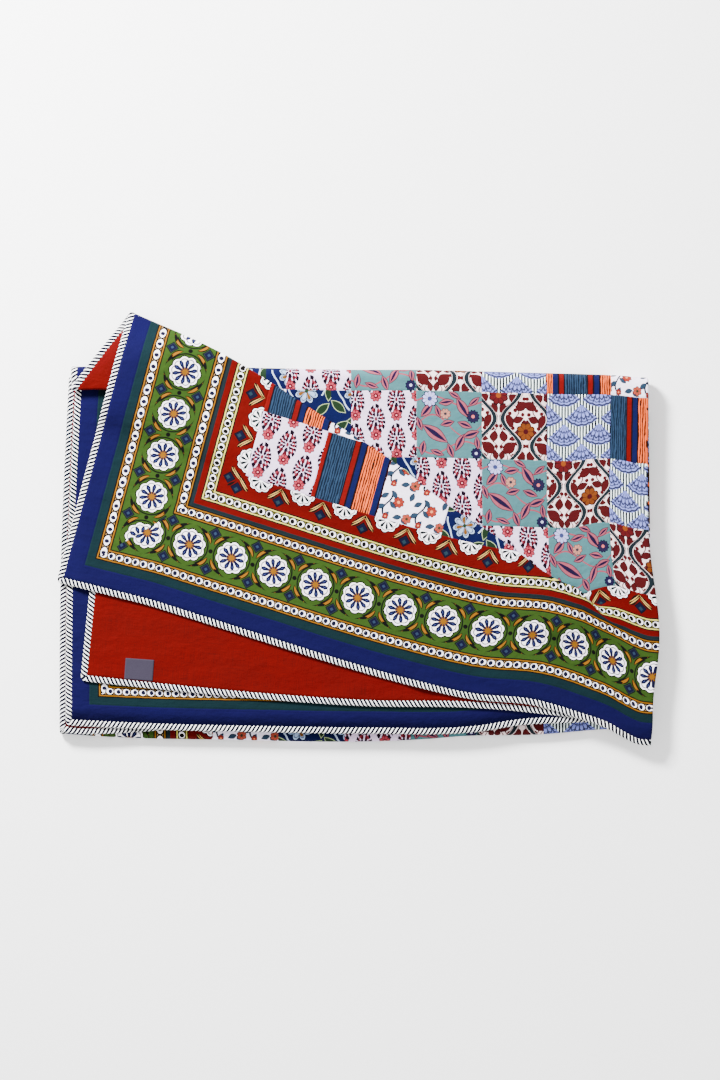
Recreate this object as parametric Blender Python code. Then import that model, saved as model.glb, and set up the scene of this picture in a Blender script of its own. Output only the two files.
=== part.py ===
"""A block-printed patchwork quilt, folded and laid flat.

The quilt is folded in half side to side, which makes two plies joined along the right hand side, and then in
four top to bottom. Counted from the top, its eight layers are

    outer panel 0, inner panel 0, inner panel 3, outer panel 3,
    outer panel 2, inner panel 2, inner panel 1, outer panel 1 (on the table).

The top layer's near corner is drawn back, so it lies turned by about 15 degrees and makes a slanting tuck:
the cloth comes up from the near edge to a crease, runs back under itself to a hidden fold, and goes on to the
far edge. Everything is one grid of points, the middle of the quilt's thickness: its rows follow the length of
the quilt through every fold, and its columns follow the width. The printed top and the plain lining are that
grid thickened to either side of the middle, and the piping runs round its rim.

Sizes are in millimetres and become metres when a mesh is made. +X runs along the long side, +Y away from the
near edge, and +Z up, with the floor at zero.
"""

import math

import bpy
import numpy as np

MM = 0.001

# The quilt laid flat.
QUILT_WIDTH = 2215.0
QUILT_LENGTH = 2850.0
OUTER_WIDTH = 1121.0
INNER_WIDTH = QUILT_WIDTH - OUTER_WIDTH
PANEL = QUILT_LENGTH / 4

# Its thickness and the room between layers.
QUILT_THICK = 3.0
SEAM_GAP = 0.3
PITCH = 5.0
FOLD_RADIUS = PITCH / 2
OUTER_LEVELS = (36.5, 1.5, 16.5, 21.5)
INNER_LEVELS = (31.5, 6.5, 11.5, 26.5)

# The corded piping round the rim, an oval section.
PIPING_WIDE = 9.4
PIPING_THICK = 3.8
PIPING_SIDES = 6
PIPING_TURNS = 3

# The sewn-in label on the lining.
LABEL_WIDE = 54.0
LABEL_HIGH = 40.0
LABEL_THICK = 0.6
LABEL_PLACE = (-419.0, -265.0)
LABEL_TURN = math.radians(-4.0)

# The middle of the folded quilt's box, which is the part's origin.
CENTRE = (-2.9, 3.7)

# The top layer. Each row is one line of cloth, that far across from the quilt's left edge: the line starts on
# the near edge, reaches the crease, runs under to the tuck's hidden fold, and goes on to the far fold's axis.
TOP_LAYER_COLUMNS = (
    "across", "edge_x", "edge_y", "crease_x", "crease_y", "tuck_x", "tuck_y", "far_x", "far_y",
)
TOP_LAYER = np.array([
    (0, -565, -92, -431, 412, -538, 268, -540, 293),
    (57, -510, -106, -377, 388, -483, 268, -484, 293),
    (114, -454, -120, -324, 365, -428, 257, -428, 293),
    (171, -399, -134, -271, 339, -372, 235, -372, 293),
    (220, -351, -149, -225, 313, -324, 218, -324, 293),
    (386, -190, -200, -75, 217, -163, 147, -163, 290),
    (536, -44, -246, 60, 130, -17, 82, -17, 287),
    (663, 82, -282, 169, 44, 107, 9, 107, 287),
    (790, 209, -312, 275, -26, 231, -53, 231, 284),
    (902, 323, -324, 361, -95, 340, -133, 340, 281),
    (984, 403, -348, 426, -128, 419, -150, 419, 279),
    (1039, 456, -367, 470, -165, 473, -184, 473, 277),
    (1080, 496, -389, 504, -184, 511, -204, 508, 275),
    (1102, 517, -398, 521, -194, 530, -214, 528, 273),
    (1121, 536, -400, 537, -203, 552, -224, 545, 272),
], float)

# The layer under it, from its left edge: its near edge, and where it enters and leaves its far fold.
UNDER_LAYER_COLUMNS = ("across", "edge_x", "edge_y", "far_x", "leave_x", "far_y")
UNDER_LAYER = np.array([
    (0, -520, -278, -464, -470, 293),
    (57, -466, -284, -410, -416, 293),
    (114, -410, -290, -355, -361, 292),
    (346, -182, -312, -139, -142, 288),
    (547, 13, -325, 45, 43, 285),
    (768, 228, -329, 249, 248, 281),
    (864, 323, -338, 338, 330, 280),
    (1005, 456, -365, 466, 460, 275),
    (1051, 496, -389, 506, 504, 274),
    (1074, 517, -398, 527, 526, 273),
    (1094, 536, -400, 545, 545, 272),
], float)

# The near fold's axis, and the near edges of the two panels that end inside, from left to right.
NEAR_FOLD = np.array([
    (-561, -378), (-494, -383), (-399, -387), (-279, -389), (42, -392), (129, -388), (190, -383),
    (350, -379), (443, -371), (551, -365),
], float)
INNER_END = np.array([
    (-549, -362), (-399, -369), (-190, -374), (13, -377), (228, -373), (296, -362), (403, -356), (551, -353),
], float)
OUTER_END = np.array([
    (-561, -375), (-532, -378), (-475, -377), (-399, -372), (-304, -365), (403, -355), (551, -353)], float)

# Left ends of the lower panels where they enter and leave each fold; the right ends lie on the right fold.
RIGHT_NEAR_X = 551.0
RIGHT_FAR_X = 545.0
OUTER_LEFT = {"panel_1_near": -561.0, "panel_2_near": -561.0, "panel_2_far": -545.0,
              "panel_3_far": -545.0, "panel_3_near": -561.0}
INNER_LEFT = {"panel_1_near": -549.0, "panel_2_near": -549.0, "panel_2_far": -531.0,
              "panel_3_far": -531.0, "panel_3_near": -549.0}
INNER_FAR_Y = (287.0, 272.0)
LEFT_BOW = -6.0

# Where the tuck fades out into plain cloth at its right hand end, and how its turns open there.
TUCK_FADES = (940.0, 1080.0)
APEX_RISES = (790.0, 950.0)
APEX_ROOM = 2.5
APEX_SLOPE = 2.6
APEX_OPENS = (960.0, 1000.0)
PINCH = (438.0, -139.0, 26.0, 0.6)

# Level of the top layer over the tuck and where there is none, how far past the tuck it takes to come down,
# and how much it sinks beyond the stack's far edge.
TUCK_TOP = 46.5
FLAP_LEVEL = 36.5
TUCK_SHOULDER = (40.0, 85.0)
FAR_DROOP = np.array([(325, 0), (339, 2.5), (365, 13.5), (388, 25.5), (412, 32.5)], float)
CORNER_DROP = 4.5
CORNER_X = (-526.0, -562.0)
NEAR_SUPPORT_Y = -376.0
NEAR_DROP = 0.25

# The right hand fold of the top two layers stands out in the middle: height of the bulge, place, reach.
RIGHT_BULGES = ((26.0, -205.0, 140.0), (9.0, -388.0, 60.0))

# More room between flap and strip at the far left corner, and where both bend beyond the stack's far edge.
CORNER_ROOM = 1.8
CORNER_ROOM_ENDS = (60.0, 160.0)
BEND_Y = 336.0
BEND_LEAST = 28.0

# Places along a panel where the grid has a row.
NEAR_ROW = 24.0
FLAP_ROWS = 6
ARC_STEPS = 4
FAR_ARC_STEPS = 6
STRAIGHT_ROWS = (0.0, 0.036, 0.100, 0.170, 0.227, 0.263, 0.270, 0.274, 0.278, 0.282,
                 0.286, 0.325, 0.364, 0.368, 0.372, 0.376, 0.380, 0.65, 1.0)
PANEL_1_ROWS = (0.03, 0.5)
PANEL_2_ROWS = (0.5,)
PANEL_3_ROWS = (0.35, 0.7)
OUTER_COLUMNS = (0, 28, 57, 85, 114, 142, 171, 220, 300, 386, 460, 536, 600, 663, 726, 790, 860, 915, 950,
                 968, 978, 985, 992, 1002, 1018, 1045, 1080, 1102, 1121)
INNER_COLUMNS = (0, 28, 57, 114, 230, 346, 547, 768, 864, 935, 1005, 1051, 1074, 1094)
HAIRPIN_STEPS = 4

COLOURS = {
    "printed_top": ((0.30, 0.42, 0.09, 1.0), 0.85),
    "red_lining": ((0.55, 0.02, 0.012, 1.0), 0.85),
    "striped_piping": ((0.72, 0.74, 0.78, 1.0), 0.75),
    "blank_label": ((0.36, 0.36, 0.38, 1.0), 0.6),
}


def smooth_step(low, high, at):
    """0 below low, 1 above high, and an even S between them."""
    share = np.clip((np.asarray(at, float) - low) / (high - low), 0.0, 1.0)
    return share * share * (3 - 2 * share)


def curve(knots, values, at):
    """A smooth line through the knots: cubic pieces whose slopes are those between neighbouring knots."""
    at = np.asarray(at, float)
    slopes = np.gradient(values, knots)
    cell = np.clip(np.searchsorted(knots, at) - 1, 0, len(knots) - 2)
    width = knots[cell + 1] - knots[cell]
    t = np.clip((at - knots[cell]) / width, 0.0, 1.0)
    return (
        (1 + 2 * t) * (1 - t) ** 2 * values[cell]
        + t * (1 - t) ** 2 * width * slopes[cell]
        + t * t * (3 - 2 * t) * values[cell + 1]
        + t * t * (t - 1) * width * slopes[cell + 1]
    )


def column(table, names, name, at):
    """The named column of a table, read at distances across."""
    return curve(table[:, 0], table[:, names.index(name)], at)


def point(x, y, z):
    """An array of points from three arrays or numbers."""
    return np.stack(np.broadcast_arrays(x, y, z), -1).astype(float)


def mix(a, b, share):
    """Part way from a to b."""
    share = np.asarray(share, float)
    if share.ndim:
        share = share[..., None]
    return a + (b - a) * share


def unit(vectors):
    """Vectors made one long."""
    return vectors / np.maximum(np.linalg.norm(vectors, axis=-1, keepdims=True), 1e-9)


def u_turn(start, end, outward, radius, steps):
    """Rows round a half circle from above or below to its other side, without its two ends.

    Each row is the chord's point plus radius times the sine of its angle along outward, and the chord is
    walked by the cosine."""
    rows = []
    for step in range(1, steps):
        angle = math.pi * step / steps
        rows.append(mix(start, end, (1 - math.cos(angle)) / 2) + outward * (radius * math.sin(angle)))
    return rows


def far_turn(start, end, steps):
    """A half circle between two levels at the far side of the stack, which bulges away from the near edge."""
    radius = abs(end[..., 2] - start[..., 2])[..., None] / 2
    return u_turn(start, end, np.array([0.0, 1.0, 0.0]) * radius, 1.0, steps)


def near_turn(start, end, steps):
    """The same at the near side."""
    radius = abs(end[..., 2] - start[..., 2])[..., None] / 2
    return u_turn(start, end, np.array([0.0, -1.0, 0.0]) * radius, 1.0, steps)


def with_bulge(points, across, width):
    """Moves a layer's right hand part out by the fold's bulges, fading towards the left."""
    hold = smooth_step(0.55, 1.0, across / width)
    for height, place, reach in RIGHT_BULGES:
        points[..., 0] += hold * height * np.exp(-(((points[..., 1] - place) / reach) ** 2))
    return points


def near_droop(points):
    """Cloth that reaches past the stack's near edge sinks evenly with its distance from it."""
    points[..., 2] -= NEAR_DROP * np.maximum(0.0, NEAR_SUPPORT_Y - points[..., 1])
    return points


def short_of_tuck(points):
    """How far a place lies on the near side of the tuck's hidden fold, and nothing beyond it."""
    across = np.linspace(0.0, OUTER_WIDTH, 120)
    fold_x = column(TOP_LAYER, TOP_LAYER_COLUMNS, "tuck_x", across)
    fold_y = column(TOP_LAYER, TOP_LAYER_COLUMNS, "tuck_y", across)
    away = np.hypot(points[..., :1] - fold_x, points[..., 1:2] - fold_y).min(-1)
    return np.where(points[..., 1] < np.interp(points[..., 0], fold_x, fold_y), away, 0.0)


def top_surface(points):
    """Level of the top layer's uppermost run by place: over the tuck, and sinking beyond the far edge."""
    return TUCK_TOP - np.interp(points[..., 1], FAR_DROOP[:, 0], FAR_DROOP[:, 1])


def tucked_rows(across):
    """The top layer with its tuck: flap, crease, hidden strip, hidden fold and far part, as rows."""
    read = {name: column(TOP_LAYER, TOP_LAYER_COLUMNS, name, across) for name in TOP_LAYER_COLUMNS[1:]}
    edge = point(read["edge_x"], read["edge_y"], 0.0)
    crease = point(read["crease_x"], read["crease_y"], 0.0)
    tuck = point(read["tuck_x"], read["tuck_y"], 0.0)
    far = point(read["far_x"], read["far_y"], 0.0)
    crease_out = unit(unit(crease - edge) - unit(tuck - crease))
    tuck_out = unit(unit(tuck - crease) - unit(far - tuck))
    crease_line = crease - crease_out * FOLD_RADIUS
    tuck_line = tuck - tuck_out * FOLD_RADIUS
    strip = np.linalg.norm(tuck - crease, axis=-1)
    flap = np.linalg.norm(crease_line - edge, axis=-1)
    open_part = flap - strip - TUCK_SHOULDER[1]
    beyond = crease[..., 1] - BEND_Y
    bend = np.maximum(beyond / unit(crease - edge)[..., 1], BEND_LEAST)
    strip_bend = np.maximum(beyond / (crease - tuck)[..., 1], 0.25)
    aways = [flap, flap - NEAR_ROW, flap - open_part * 0.5, flap - open_part, strip + 8.0, bend]
    at_apex = smooth_step(*APEX_RISES, across)
    at_corner = 1 - smooth_step(*CORNER_ROOM_ENDS, across)
    strip_room = PITCH + APEX_ROOM * at_apex + CORNER_ROOM * at_corner
    flap_room = strip_room + CORNER_ROOM * at_corner
    lift = flap_room + strip_room - 2 * PITCH
    slope = APEX_SLOPE * at_apex
    reach = strip_room / 2 * (1 - smooth_step(*APEX_OPENS, across))
    rows, depths = [], []
    for away in aways:
        row = mix(edge, crease_line, 1 - away / flap)
        short = smooth_step(*TUCK_SHOULDER, short_of_tuck(row))
        depth = (TUCK_TOP - FLAP_LEVEL + lift) * short
        depths.append(depth + CORNER_DROP * smooth_step(*CORNER_X, row[..., 0]))
        rows.append(row)
    turns = (
        (crease_line, crease_out, 0.0, flap_room - slope),
        (tuck_line, tuck_out, flap_room + slope, strip_room - slope),
    )
    for line, out, depth, drop in turns:
        for step in range(ARC_STEPS + 1):
            angle = math.pi * step / ARC_STEPS
            rows.append(line + out * (reach * math.sin(angle))[:, None])
            depths.append(depth + drop * (1 - math.cos(angle)) / 2)
        if line is crease_line:
            rows.append(mix(crease_line, tuck_line, strip_bend))
            depths.append(flap_room)
    rows += [mix(tuck_line, far, 0.5), far]
    depths += [flap_room + strip_room, flap_room + strip_room]
    for row, depth in zip(rows, depths):
        row[..., 2] = top_surface(row) + lift - depth
    rows = np.array(rows)
    end = point(read["far_x"], read["far_y"], OUTER_LEVELS[1])
    return np.concatenate([rows, far_turn(rows[-1], end, FAR_ARC_STEPS), [end]])


def straight_rows(edge, far):
    """A layer with no tuck, from its near edge to its far fold."""
    return np.array([mix(edge, far, place) for place in STRAIGHT_ROWS])


def outer_panel_0(across):
    """The top layer and its far fold, with its tuck faded out into plain cloth at the right."""
    rows = tucked_rows(across)
    read = {name: column(TOP_LAYER, TOP_LAYER_COLUMNS, name, across) for name in TOP_LAYER_COLUMNS[1:]}
    far = point(read["far_x"], read["far_y"], OUTER_LEVELS[0])
    straight = straight_rows(point(read["edge_x"], read["edge_y"], OUTER_LEVELS[0]), far)
    end = point(read["far_x"], read["far_y"], OUTER_LEVELS[1])
    straight = np.concatenate([straight, far_turn(far, end, FAR_ARC_STEPS), [end]])
    rows = mix(rows, straight, np.broadcast_to(smooth_step(*TUCK_FADES, across), rows.shape[:2]))
    layer = len(STRAIGHT_ROWS)
    rows[:layer] = near_droop(with_bulge(rows[:layer], across, OUTER_WIDTH))
    return rows


def inner_panel_0(across):
    """The layer under the top one and its far fold."""
    read = {name: column(UNDER_LAYER, UNDER_LAYER_COLUMNS, name, across) for name in UNDER_LAYER_COLUMNS[1:]}
    edge = point(read["edge_x"], read["edge_y"], INNER_LEVELS[0])
    far = point(read["far_x"], read["far_y"], INNER_LEVELS[0])
    rows = near_droop(with_bulge(straight_rows(edge, far), across, INNER_WIDTH))
    end = point(read["leave_x"], read["far_y"], INNER_LEVELS[1])
    return np.concatenate([rows, far_turn(far, end, FAR_ARC_STEPS), [end]])


def lower_panels(start, across, width, left, levels, ends):
    """Panels 1 to 3 of one ply, from the end of its far fold: straight, with bowed left edges."""
    share = across / width
    near_1_x = left["panel_1_near"] + (RIGHT_NEAR_X - left["panel_1_near"]) * share
    near_2_x = left["panel_2_near"] + (RIGHT_NEAR_X - left["panel_2_near"]) * share
    far_2_x = left["panel_2_far"] + (RIGHT_FAR_X - left["panel_2_far"]) * share
    far_3_x = left["panel_3_far"] + (RIGHT_FAR_X - left["panel_3_far"]) * share
    end_x = left["panel_3_near"] + (RIGHT_NEAR_X - left["panel_3_near"]) * share
    far_y = INNER_FAR_Y[0] + (INNER_FAR_Y[1] - INNER_FAR_Y[0]) * share
    near_1 = point(near_1_x, curve(NEAR_FOLD[:, 0], NEAR_FOLD[:, 1], near_1_x), levels[1])
    near_2 = point(near_2_x, curve(NEAR_FOLD[:, 0], NEAR_FOLD[:, 1], near_1_x), levels[2])
    far_2 = point(far_2_x, far_y, levels[2])
    far_3 = point(far_3_x, far_y, levels[3])
    end = point(end_x, curve(ends[:, 0], ends[:, 1], end_x), levels[3])

    def between(a, b, places):
        bow = LEFT_BOW * (1 - share) ** 3
        rows = []
        for place in places:
            row = mix(a, b, place)
            row[..., 0] += bow * math.sin(math.pi * place)
            rows.append(row)
        return rows

    rows = between(start, near_1, PANEL_1_ROWS) + [near_1]
    rows += near_turn(near_1, near_2, ARC_STEPS) + [near_2]
    rows += between(near_2, far_2, PANEL_2_ROWS) + [far_2]
    rows += far_turn(far_2, far_3, ARC_STEPS) + [far_3]
    rows += between(far_3, end, PANEL_3_ROWS) + [end]
    return np.array(rows)


def hairpin(outer, inner):
    """Columns round the right hand fold, from the outer ply to the inner one."""
    radius = np.linalg.norm(outer - inner, axis=-1, keepdims=True) / 2
    columns = []
    for step in range(1, HAIRPIN_STEPS):
        angle = math.pi * step / HAIRPIN_STEPS
        side = np.array([1.0, 0.0, 0.0]) * radius * math.sin(angle)
        columns.append(mix(outer, inner, (1 - math.cos(angle)) / 2) + side)
    return columns


def quilt_middle():
    """The middle of the quilt's thickness: rows along its length, columns from left edge to left edge."""
    across_outer = np.array(OUTER_COLUMNS, float)
    across_inner = np.array(INNER_COLUMNS, float)
    outer = outer_panel_0(across_outer)
    inner = inner_panel_0(across_inner)
    outer = np.concatenate([
        outer, lower_panels(outer[-1], across_outer, OUTER_WIDTH, OUTER_LEFT, OUTER_LEVELS, OUTER_END)])
    inner = np.concatenate([
        inner, lower_panels(inner[-1], across_inner, INNER_WIDTH, INNER_LEFT, INNER_LEVELS, INNER_END)])
    turn = hairpin(outer[:, -1], inner[:, -1])
    grid = np.concatenate([outer, np.stack(turn, 1), inner[:, ::-1]], 1)
    grid[..., 0] -= CENTRE[0]
    grid[..., 1] -= CENTRE[1]
    return grid


def grid_normals(grid):
    """The direction out of the printed side at each point, from its neighbours along and across."""
    along = np.gradient(grid, axis=0)
    over = np.gradient(grid, axis=1)
    return unit(np.cross(over, along))


def half_thickness(grid):
    """Half the quilt's thickness: it is pinched thin inside the tuck's right hand end."""
    away = np.hypot(grid[..., 0] + CENTRE[0] - PINCH[0], grid[..., 1] + CENTRE[1] - PINCH[1])
    pinch = 1 - smooth_step(PINCH[2], 2 * PINCH[2], away)
    pinch[: FLAP_ROWS - 1] = 0.0
    pinch[FLAP_ROWS + 2 * ARC_STEPS + 3:] = 0.0
    pinch[:, len(OUTER_COLUMNS):] = 0.0
    return (QUILT_THICK / 2 * (1 - PINCH[3] * pinch))[..., None]


def sheet_mesh(grid, normals, low, high):
    """One closed sheet between two heights off the middle: two grids and a rim, all in triangles."""
    rows, columns = grid.shape[:2]
    points = np.concatenate([(grid + normals * high).reshape(-1, 3), (grid + normals * low).reshape(-1, 3)])
    index = np.arange(rows * columns).reshape(rows, columns)
    a, b = index[:-1, :-1].ravel(), index[:-1, 1:].ravel()
    c, d = index[1:, 1:].ravel(), index[1:, :-1].ravel()
    top = np.concatenate([np.stack([a, b, c], 1), np.stack([a, c, d], 1)])
    low_side = top[:, ::-1] + rows * columns
    rim = np.concatenate([index[0, :-1], index[:-1, -1], index[-1, :0:-1], index[:0:-1, 0]])
    after = np.roll(rim, -1)
    under = rows * columns
    walls = np.concatenate([
        np.stack([rim, rim + under, after + under], 1),
        np.stack([rim, after + under, after], 1),
    ])
    return points, np.concatenate([top, low_side, walls])


def rim_path(grid, normals):
    """The piping's middle line and its outward and upward directions, once round, rounded at corners."""
    stand_off = PIPING_WIDE / 2 + SEAM_GAP
    sides = (
        (grid[0], grid[1], normals[0]),
        (grid[:, -1], grid[:, -2], normals[:, -1]),
        (grid[-1, ::-1], grid[-2, ::-1], normals[-1, ::-1]),
        (grid[::-1, 0], grid[::-1, 1], normals[::-1, 0]),
    )
    edges = []
    for line, inside, up in sides:
        tangent = unit(np.gradient(line, axis=0))
        out = line - inside
        out -= tangent * (out * tangent).sum(-1, keepdims=True)
        out -= up * (out * up).sum(-1, keepdims=True)
        edges.append((line, unit(out), up))
    centres, outs, ups = [], [], []
    for number, (line, out, up) in enumerate(edges):
        centres.append(line[1:-1] + out[1:-1] * stand_off)
        outs.append(out[1:-1])
        ups.append(up[1:-1])
        following = edges[(number + 1) % len(edges)][1][0]
        for turn in range(PIPING_TURNS + 1):
            angle = 0.5 * math.pi * turn / PIPING_TURNS
            way = unit(out[-1] * math.cos(angle) + following * math.sin(angle))
            centres.append((line[-1] + way * stand_off)[None])
            outs.append(way[None])
            ups.append(up[-1][None])
    centres, outs, ups = (np.concatenate(part) for part in (centres, outs, ups))
    centres[:, 2] = np.maximum(centres[:, 2], PIPING_THICK / 2 + 0.05)
    return centres, outs, ups


def piping_mesh(centres, outs, ups):
    """A closed ring of oval sections, each flat to the quilt's own surface."""
    angles = np.arange(PIPING_SIDES) * 2 * math.pi / PIPING_SIDES
    half_high = PIPING_THICK / 2 / math.sin(math.pi / 3)
    section = (
        centres[:, None]
        + outs[:, None] * (np.cos(angles) * PIPING_WIDE / 2)[None, :, None]
        + ups[:, None] * (np.sin(angles) * half_high)[None, :, None]
    )
    rings = len(centres)
    index = np.arange(rings * PIPING_SIDES).reshape(rings, PIPING_SIDES)
    a, b = index, np.roll(index, -1, 1)
    d, c = np.roll(index, -1, 0), np.roll(np.roll(index, -1, 0), -1, 1)
    faces = np.concatenate([
        np.stack([a.ravel(), b.ravel(), c.ravel()], 1),
        np.stack([a.ravel(), c.ravel(), d.ravel()], 1),
    ])
    return section.reshape(-1, 3), faces


def label_mesh():
    """The label, a thin plate that lies on the lining."""
    bottom = INNER_LEVELS[0] + QUILT_THICK / 2 + SEAM_GAP
    corners = []
    for level in (bottom, bottom + LABEL_THICK):
        for side_x, side_y in ((-1, -1), (1, -1), (1, 1), (-1, 1)):
            x, y = side_x * LABEL_WIDE / 2, side_y * LABEL_HIGH / 2
            corners.append((
                LABEL_PLACE[0] - CENTRE[0] + x * math.cos(LABEL_TURN) - y * math.sin(LABEL_TURN),
                LABEL_PLACE[1] - CENTRE[1] + x * math.sin(LABEL_TURN) + y * math.cos(LABEL_TURN),
                level,
            ))
    quads = ((3, 2, 1, 0), (4, 5, 6, 7), (0, 1, 5, 4), (1, 2, 6, 5), (2, 3, 7, 6), (3, 0, 4, 7))
    faces = [triangle for a, b, c, d in quads for triangle in ((a, b, c), (a, c, d))]
    return np.array(corners), np.array(faces)


def outward(points, faces):
    """The faces turned, if need be, so that the closed mesh has a positive volume."""
    a, b, c = (points[faces[:, k]] for k in range(3))
    volume = (a * np.cross(b, c)).sum()
    return faces if volume > 0 else faces[:, ::-1]


def add_object(name, points, faces):
    """One named object with its own Principled material."""
    mesh = bpy.data.meshes.new(name)
    mesh.from_pydata((points * MM).tolist(), [], outward(points, faces).tolist())
    mesh.validate()
    mesh.update()
    colour, roughness = COLOURS[name]
    material = bpy.data.materials.new(name)
    material.use_nodes = True
    shader = material.node_tree.nodes["Principled BSDF"]
    shader.inputs["Base Color"].default_value = colour
    shader.inputs["Roughness"].default_value = roughness
    shader.inputs["Metallic"].default_value = 0.0
    mesh.materials.append(material)
    piece = bpy.data.objects.new(name, mesh)
    bpy.context.scene.collection.objects.link(piece)
    mesh.shade_smooth()
    mesh.set_sharp_from_angle(angle=math.radians(40))
    return piece


def build():
    """The four sewn pieces."""
    for thing in list(bpy.data.objects):
        bpy.data.objects.remove(thing, do_unlink=True)
    grid = quilt_middle()
    normals = grid_normals(grid)
    half = half_thickness(grid)
    add_object("printed_top", *sheet_mesh(grid, normals, SEAM_GAP / 2, half))
    add_object("red_lining", *sheet_mesh(grid, normals, -half, -SEAM_GAP / 2))
    add_object("striped_piping", *piping_mesh(*rim_path(grid, normals)))
    add_object("blank_label", *label_mesh())


build()
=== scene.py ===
"""The looks of a block-printed patchwork quilt, folded and laid flat.

Shapes: the quilt's middle is one grid of points that follows every fold. The printed front and the plain
lining are that grid thickened to either side, and the piping is an oval section carried round its rim.
Every point of the cloth knows its place on the flat quilt in metres (across, along), kept in the UV map
"cloth", and all prints are formulas of that place, written as shader nodes.

Lengths are in millimetres and become metres when a mesh is made.
"""

import math

import bpy
import numpy as np
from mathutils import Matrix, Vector


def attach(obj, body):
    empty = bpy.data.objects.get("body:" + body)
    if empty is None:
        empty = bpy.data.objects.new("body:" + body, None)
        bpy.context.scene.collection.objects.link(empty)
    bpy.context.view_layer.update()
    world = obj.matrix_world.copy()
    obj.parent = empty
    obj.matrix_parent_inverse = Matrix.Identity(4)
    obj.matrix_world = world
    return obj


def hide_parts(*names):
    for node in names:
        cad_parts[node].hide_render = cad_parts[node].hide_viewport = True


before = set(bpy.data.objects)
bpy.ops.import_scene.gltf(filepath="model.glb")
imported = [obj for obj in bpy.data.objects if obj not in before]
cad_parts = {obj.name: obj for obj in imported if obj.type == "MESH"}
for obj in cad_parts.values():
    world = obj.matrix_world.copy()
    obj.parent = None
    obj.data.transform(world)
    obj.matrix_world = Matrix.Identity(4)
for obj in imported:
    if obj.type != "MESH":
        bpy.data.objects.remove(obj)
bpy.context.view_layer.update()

MM = 0.001

# The quilt laid flat.
QUILT_WIDTH = 2215.0
QUILT_LENGTH = 2850.0
OUTER_WIDTH = 1121.0
INNER_WIDTH = QUILT_WIDTH - OUTER_WIDTH
PANEL = QUILT_LENGTH / 4

# Its thickness and the room between layers.
QUILT_THICK = 3.0
SEAM_GAP = 0.3
PITCH = 5.0
FOLD_RADIUS = PITCH / 2
OUTER_LEVELS = (36.5, 1.5, 16.5, 21.5)
INNER_LEVELS = (31.5, 6.5, 11.5, 26.5)

# The corded piping round the rim, an oval section: its width, how far it laps over the quilt's edge, its
# thickness, the sides of its section, the steps round a corner of the quilt, and the pitch and width of its
# stripes.
PIPING_WIDE = 9.4
PIPING_LAP = 3.4
PIPING_PUFF = 4.2
PIPING_SIDES = 16
PIPING_TURNS = 3
STRIPE_PITCH = 7.8
STRIPE_WIDE = 4.9

# How square its section is: powers of the cosine across and of the sine up, where 1 gives an oval.
ROUND_ACROSS = 0.8
ROUND_UP = 0.6

# How far the piping stays off the floor.
OFF_FLOOR = 0.05

# Which way the stripes lean on each of the quilt's four sides.
LEANS = (1.0, -1.0, -1.0, 1.0)

# The sewn-in label on the lining.
LABEL_WIDE = 54.0
LABEL_HIGH = 40.0
LABEL_THICK = 0.6
LABEL_PLACE = (-419.0, -265.0)
LABEL_TURN = math.radians(-4.0)
LABEL_CELLS = (27, 20)

# How far its corners lift, and the height of the wave along its near edge.
LABEL_CORNERS = 0.25
LABEL_WAVE = 0.2

# The middle of the folded quilt's box, which is the part's origin.
CENTRE = (-2.9, 3.7)

# The top layer. Each row is one line of cloth, that far across from the quilt's left edge: the line starts
# on the near edge, reaches the crease, runs under to the tuck's hidden fold, and goes on to the far fold's
# axis.
TOP_LAYER_COLUMNS = (
    "across", "edge_x", "edge_y", "crease_x", "crease_y", "tuck_x", "tuck_y", "far_x", "far_y",
)
TOP_LAYER = np.array([
    (0, -565, -92, -431, 412, -538, 268, -540, 293),
    (57, -510, -106, -377, 388, -483, 268, -484, 293),
    (114, -454, -120, -324, 365, -428, 257, -428, 293),
    (171, -399, -134, -271, 339, -372, 235, -372, 293),
    (220, -351, -149, -225, 313, -324, 218, -324, 293),
    (386, -190, -200, -75, 217, -163, 147, -163, 290),
    (536, -44, -246, 60, 130, -17, 82, -17, 287),
    (663, 82, -282, 169, 44, 107, 9, 107, 287),
    (790, 209, -312, 275, -26, 231, -53, 231, 284),
    (902, 323, -324, 361, -95, 340, -133, 340, 281),
    (984, 403, -348, 426, -128, 419, -150, 419, 279),
    (1039, 456, -367, 470, -165, 473, -184, 473, 277),
    (1080, 496, -389, 504, -184, 511, -204, 508, 275),
    (1102, 517, -398, 521, -194, 530, -214, 528, 273),
    (1121, 536, -400, 537, -203, 552, -224, 545, 272),
], float)

# The layer under it, from its left edge: its near edge, and where it enters and leaves its far fold.
UNDER_LAYER_COLUMNS = ("across", "edge_x", "edge_y", "far_x", "leave_x", "far_y")
UNDER_LAYER = np.array([
    (0, -520, -278, -464, -470, 293),
    (57, -466, -284, -410, -416, 293),
    (114, -410, -290, -355, -361, 292),
    (346, -182, -312, -139, -142, 288),
    (547, 13, -325, 45, 43, 285),
    (768, 228, -329, 249, 248, 281),
    (864, 323, -338, 338, 330, 280),
    (1005, 456, -365, 466, 460, 275),
    (1051, 496, -389, 506, 504, 274),
    (1074, 517, -398, 527, 526, 273),
    (1094, 536, -400, 545, 545, 272),
], float)

# The near fold's axis, and the near edges of the two panels that end inside, from left to right.
NEAR_FOLD = np.array([
    (-561, -378), (-494, -383), (-399, -387), (-279, -389), (42, -392), (129, -388), (190, -383),
    (350, -379), (443, -371), (551, -365),
], float)
INNER_END = np.array([
    (-549, -362), (-399, -369), (-190, -374), (13, -377), (228, -373), (296, -362), (403, -356),
    (551, -353),
], float)
OUTER_END = np.array([
    (-561, -375), (-532, -378), (-475, -377), (-399, -372), (-304, -365), (403, -355), (551, -353),
], float)

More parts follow.
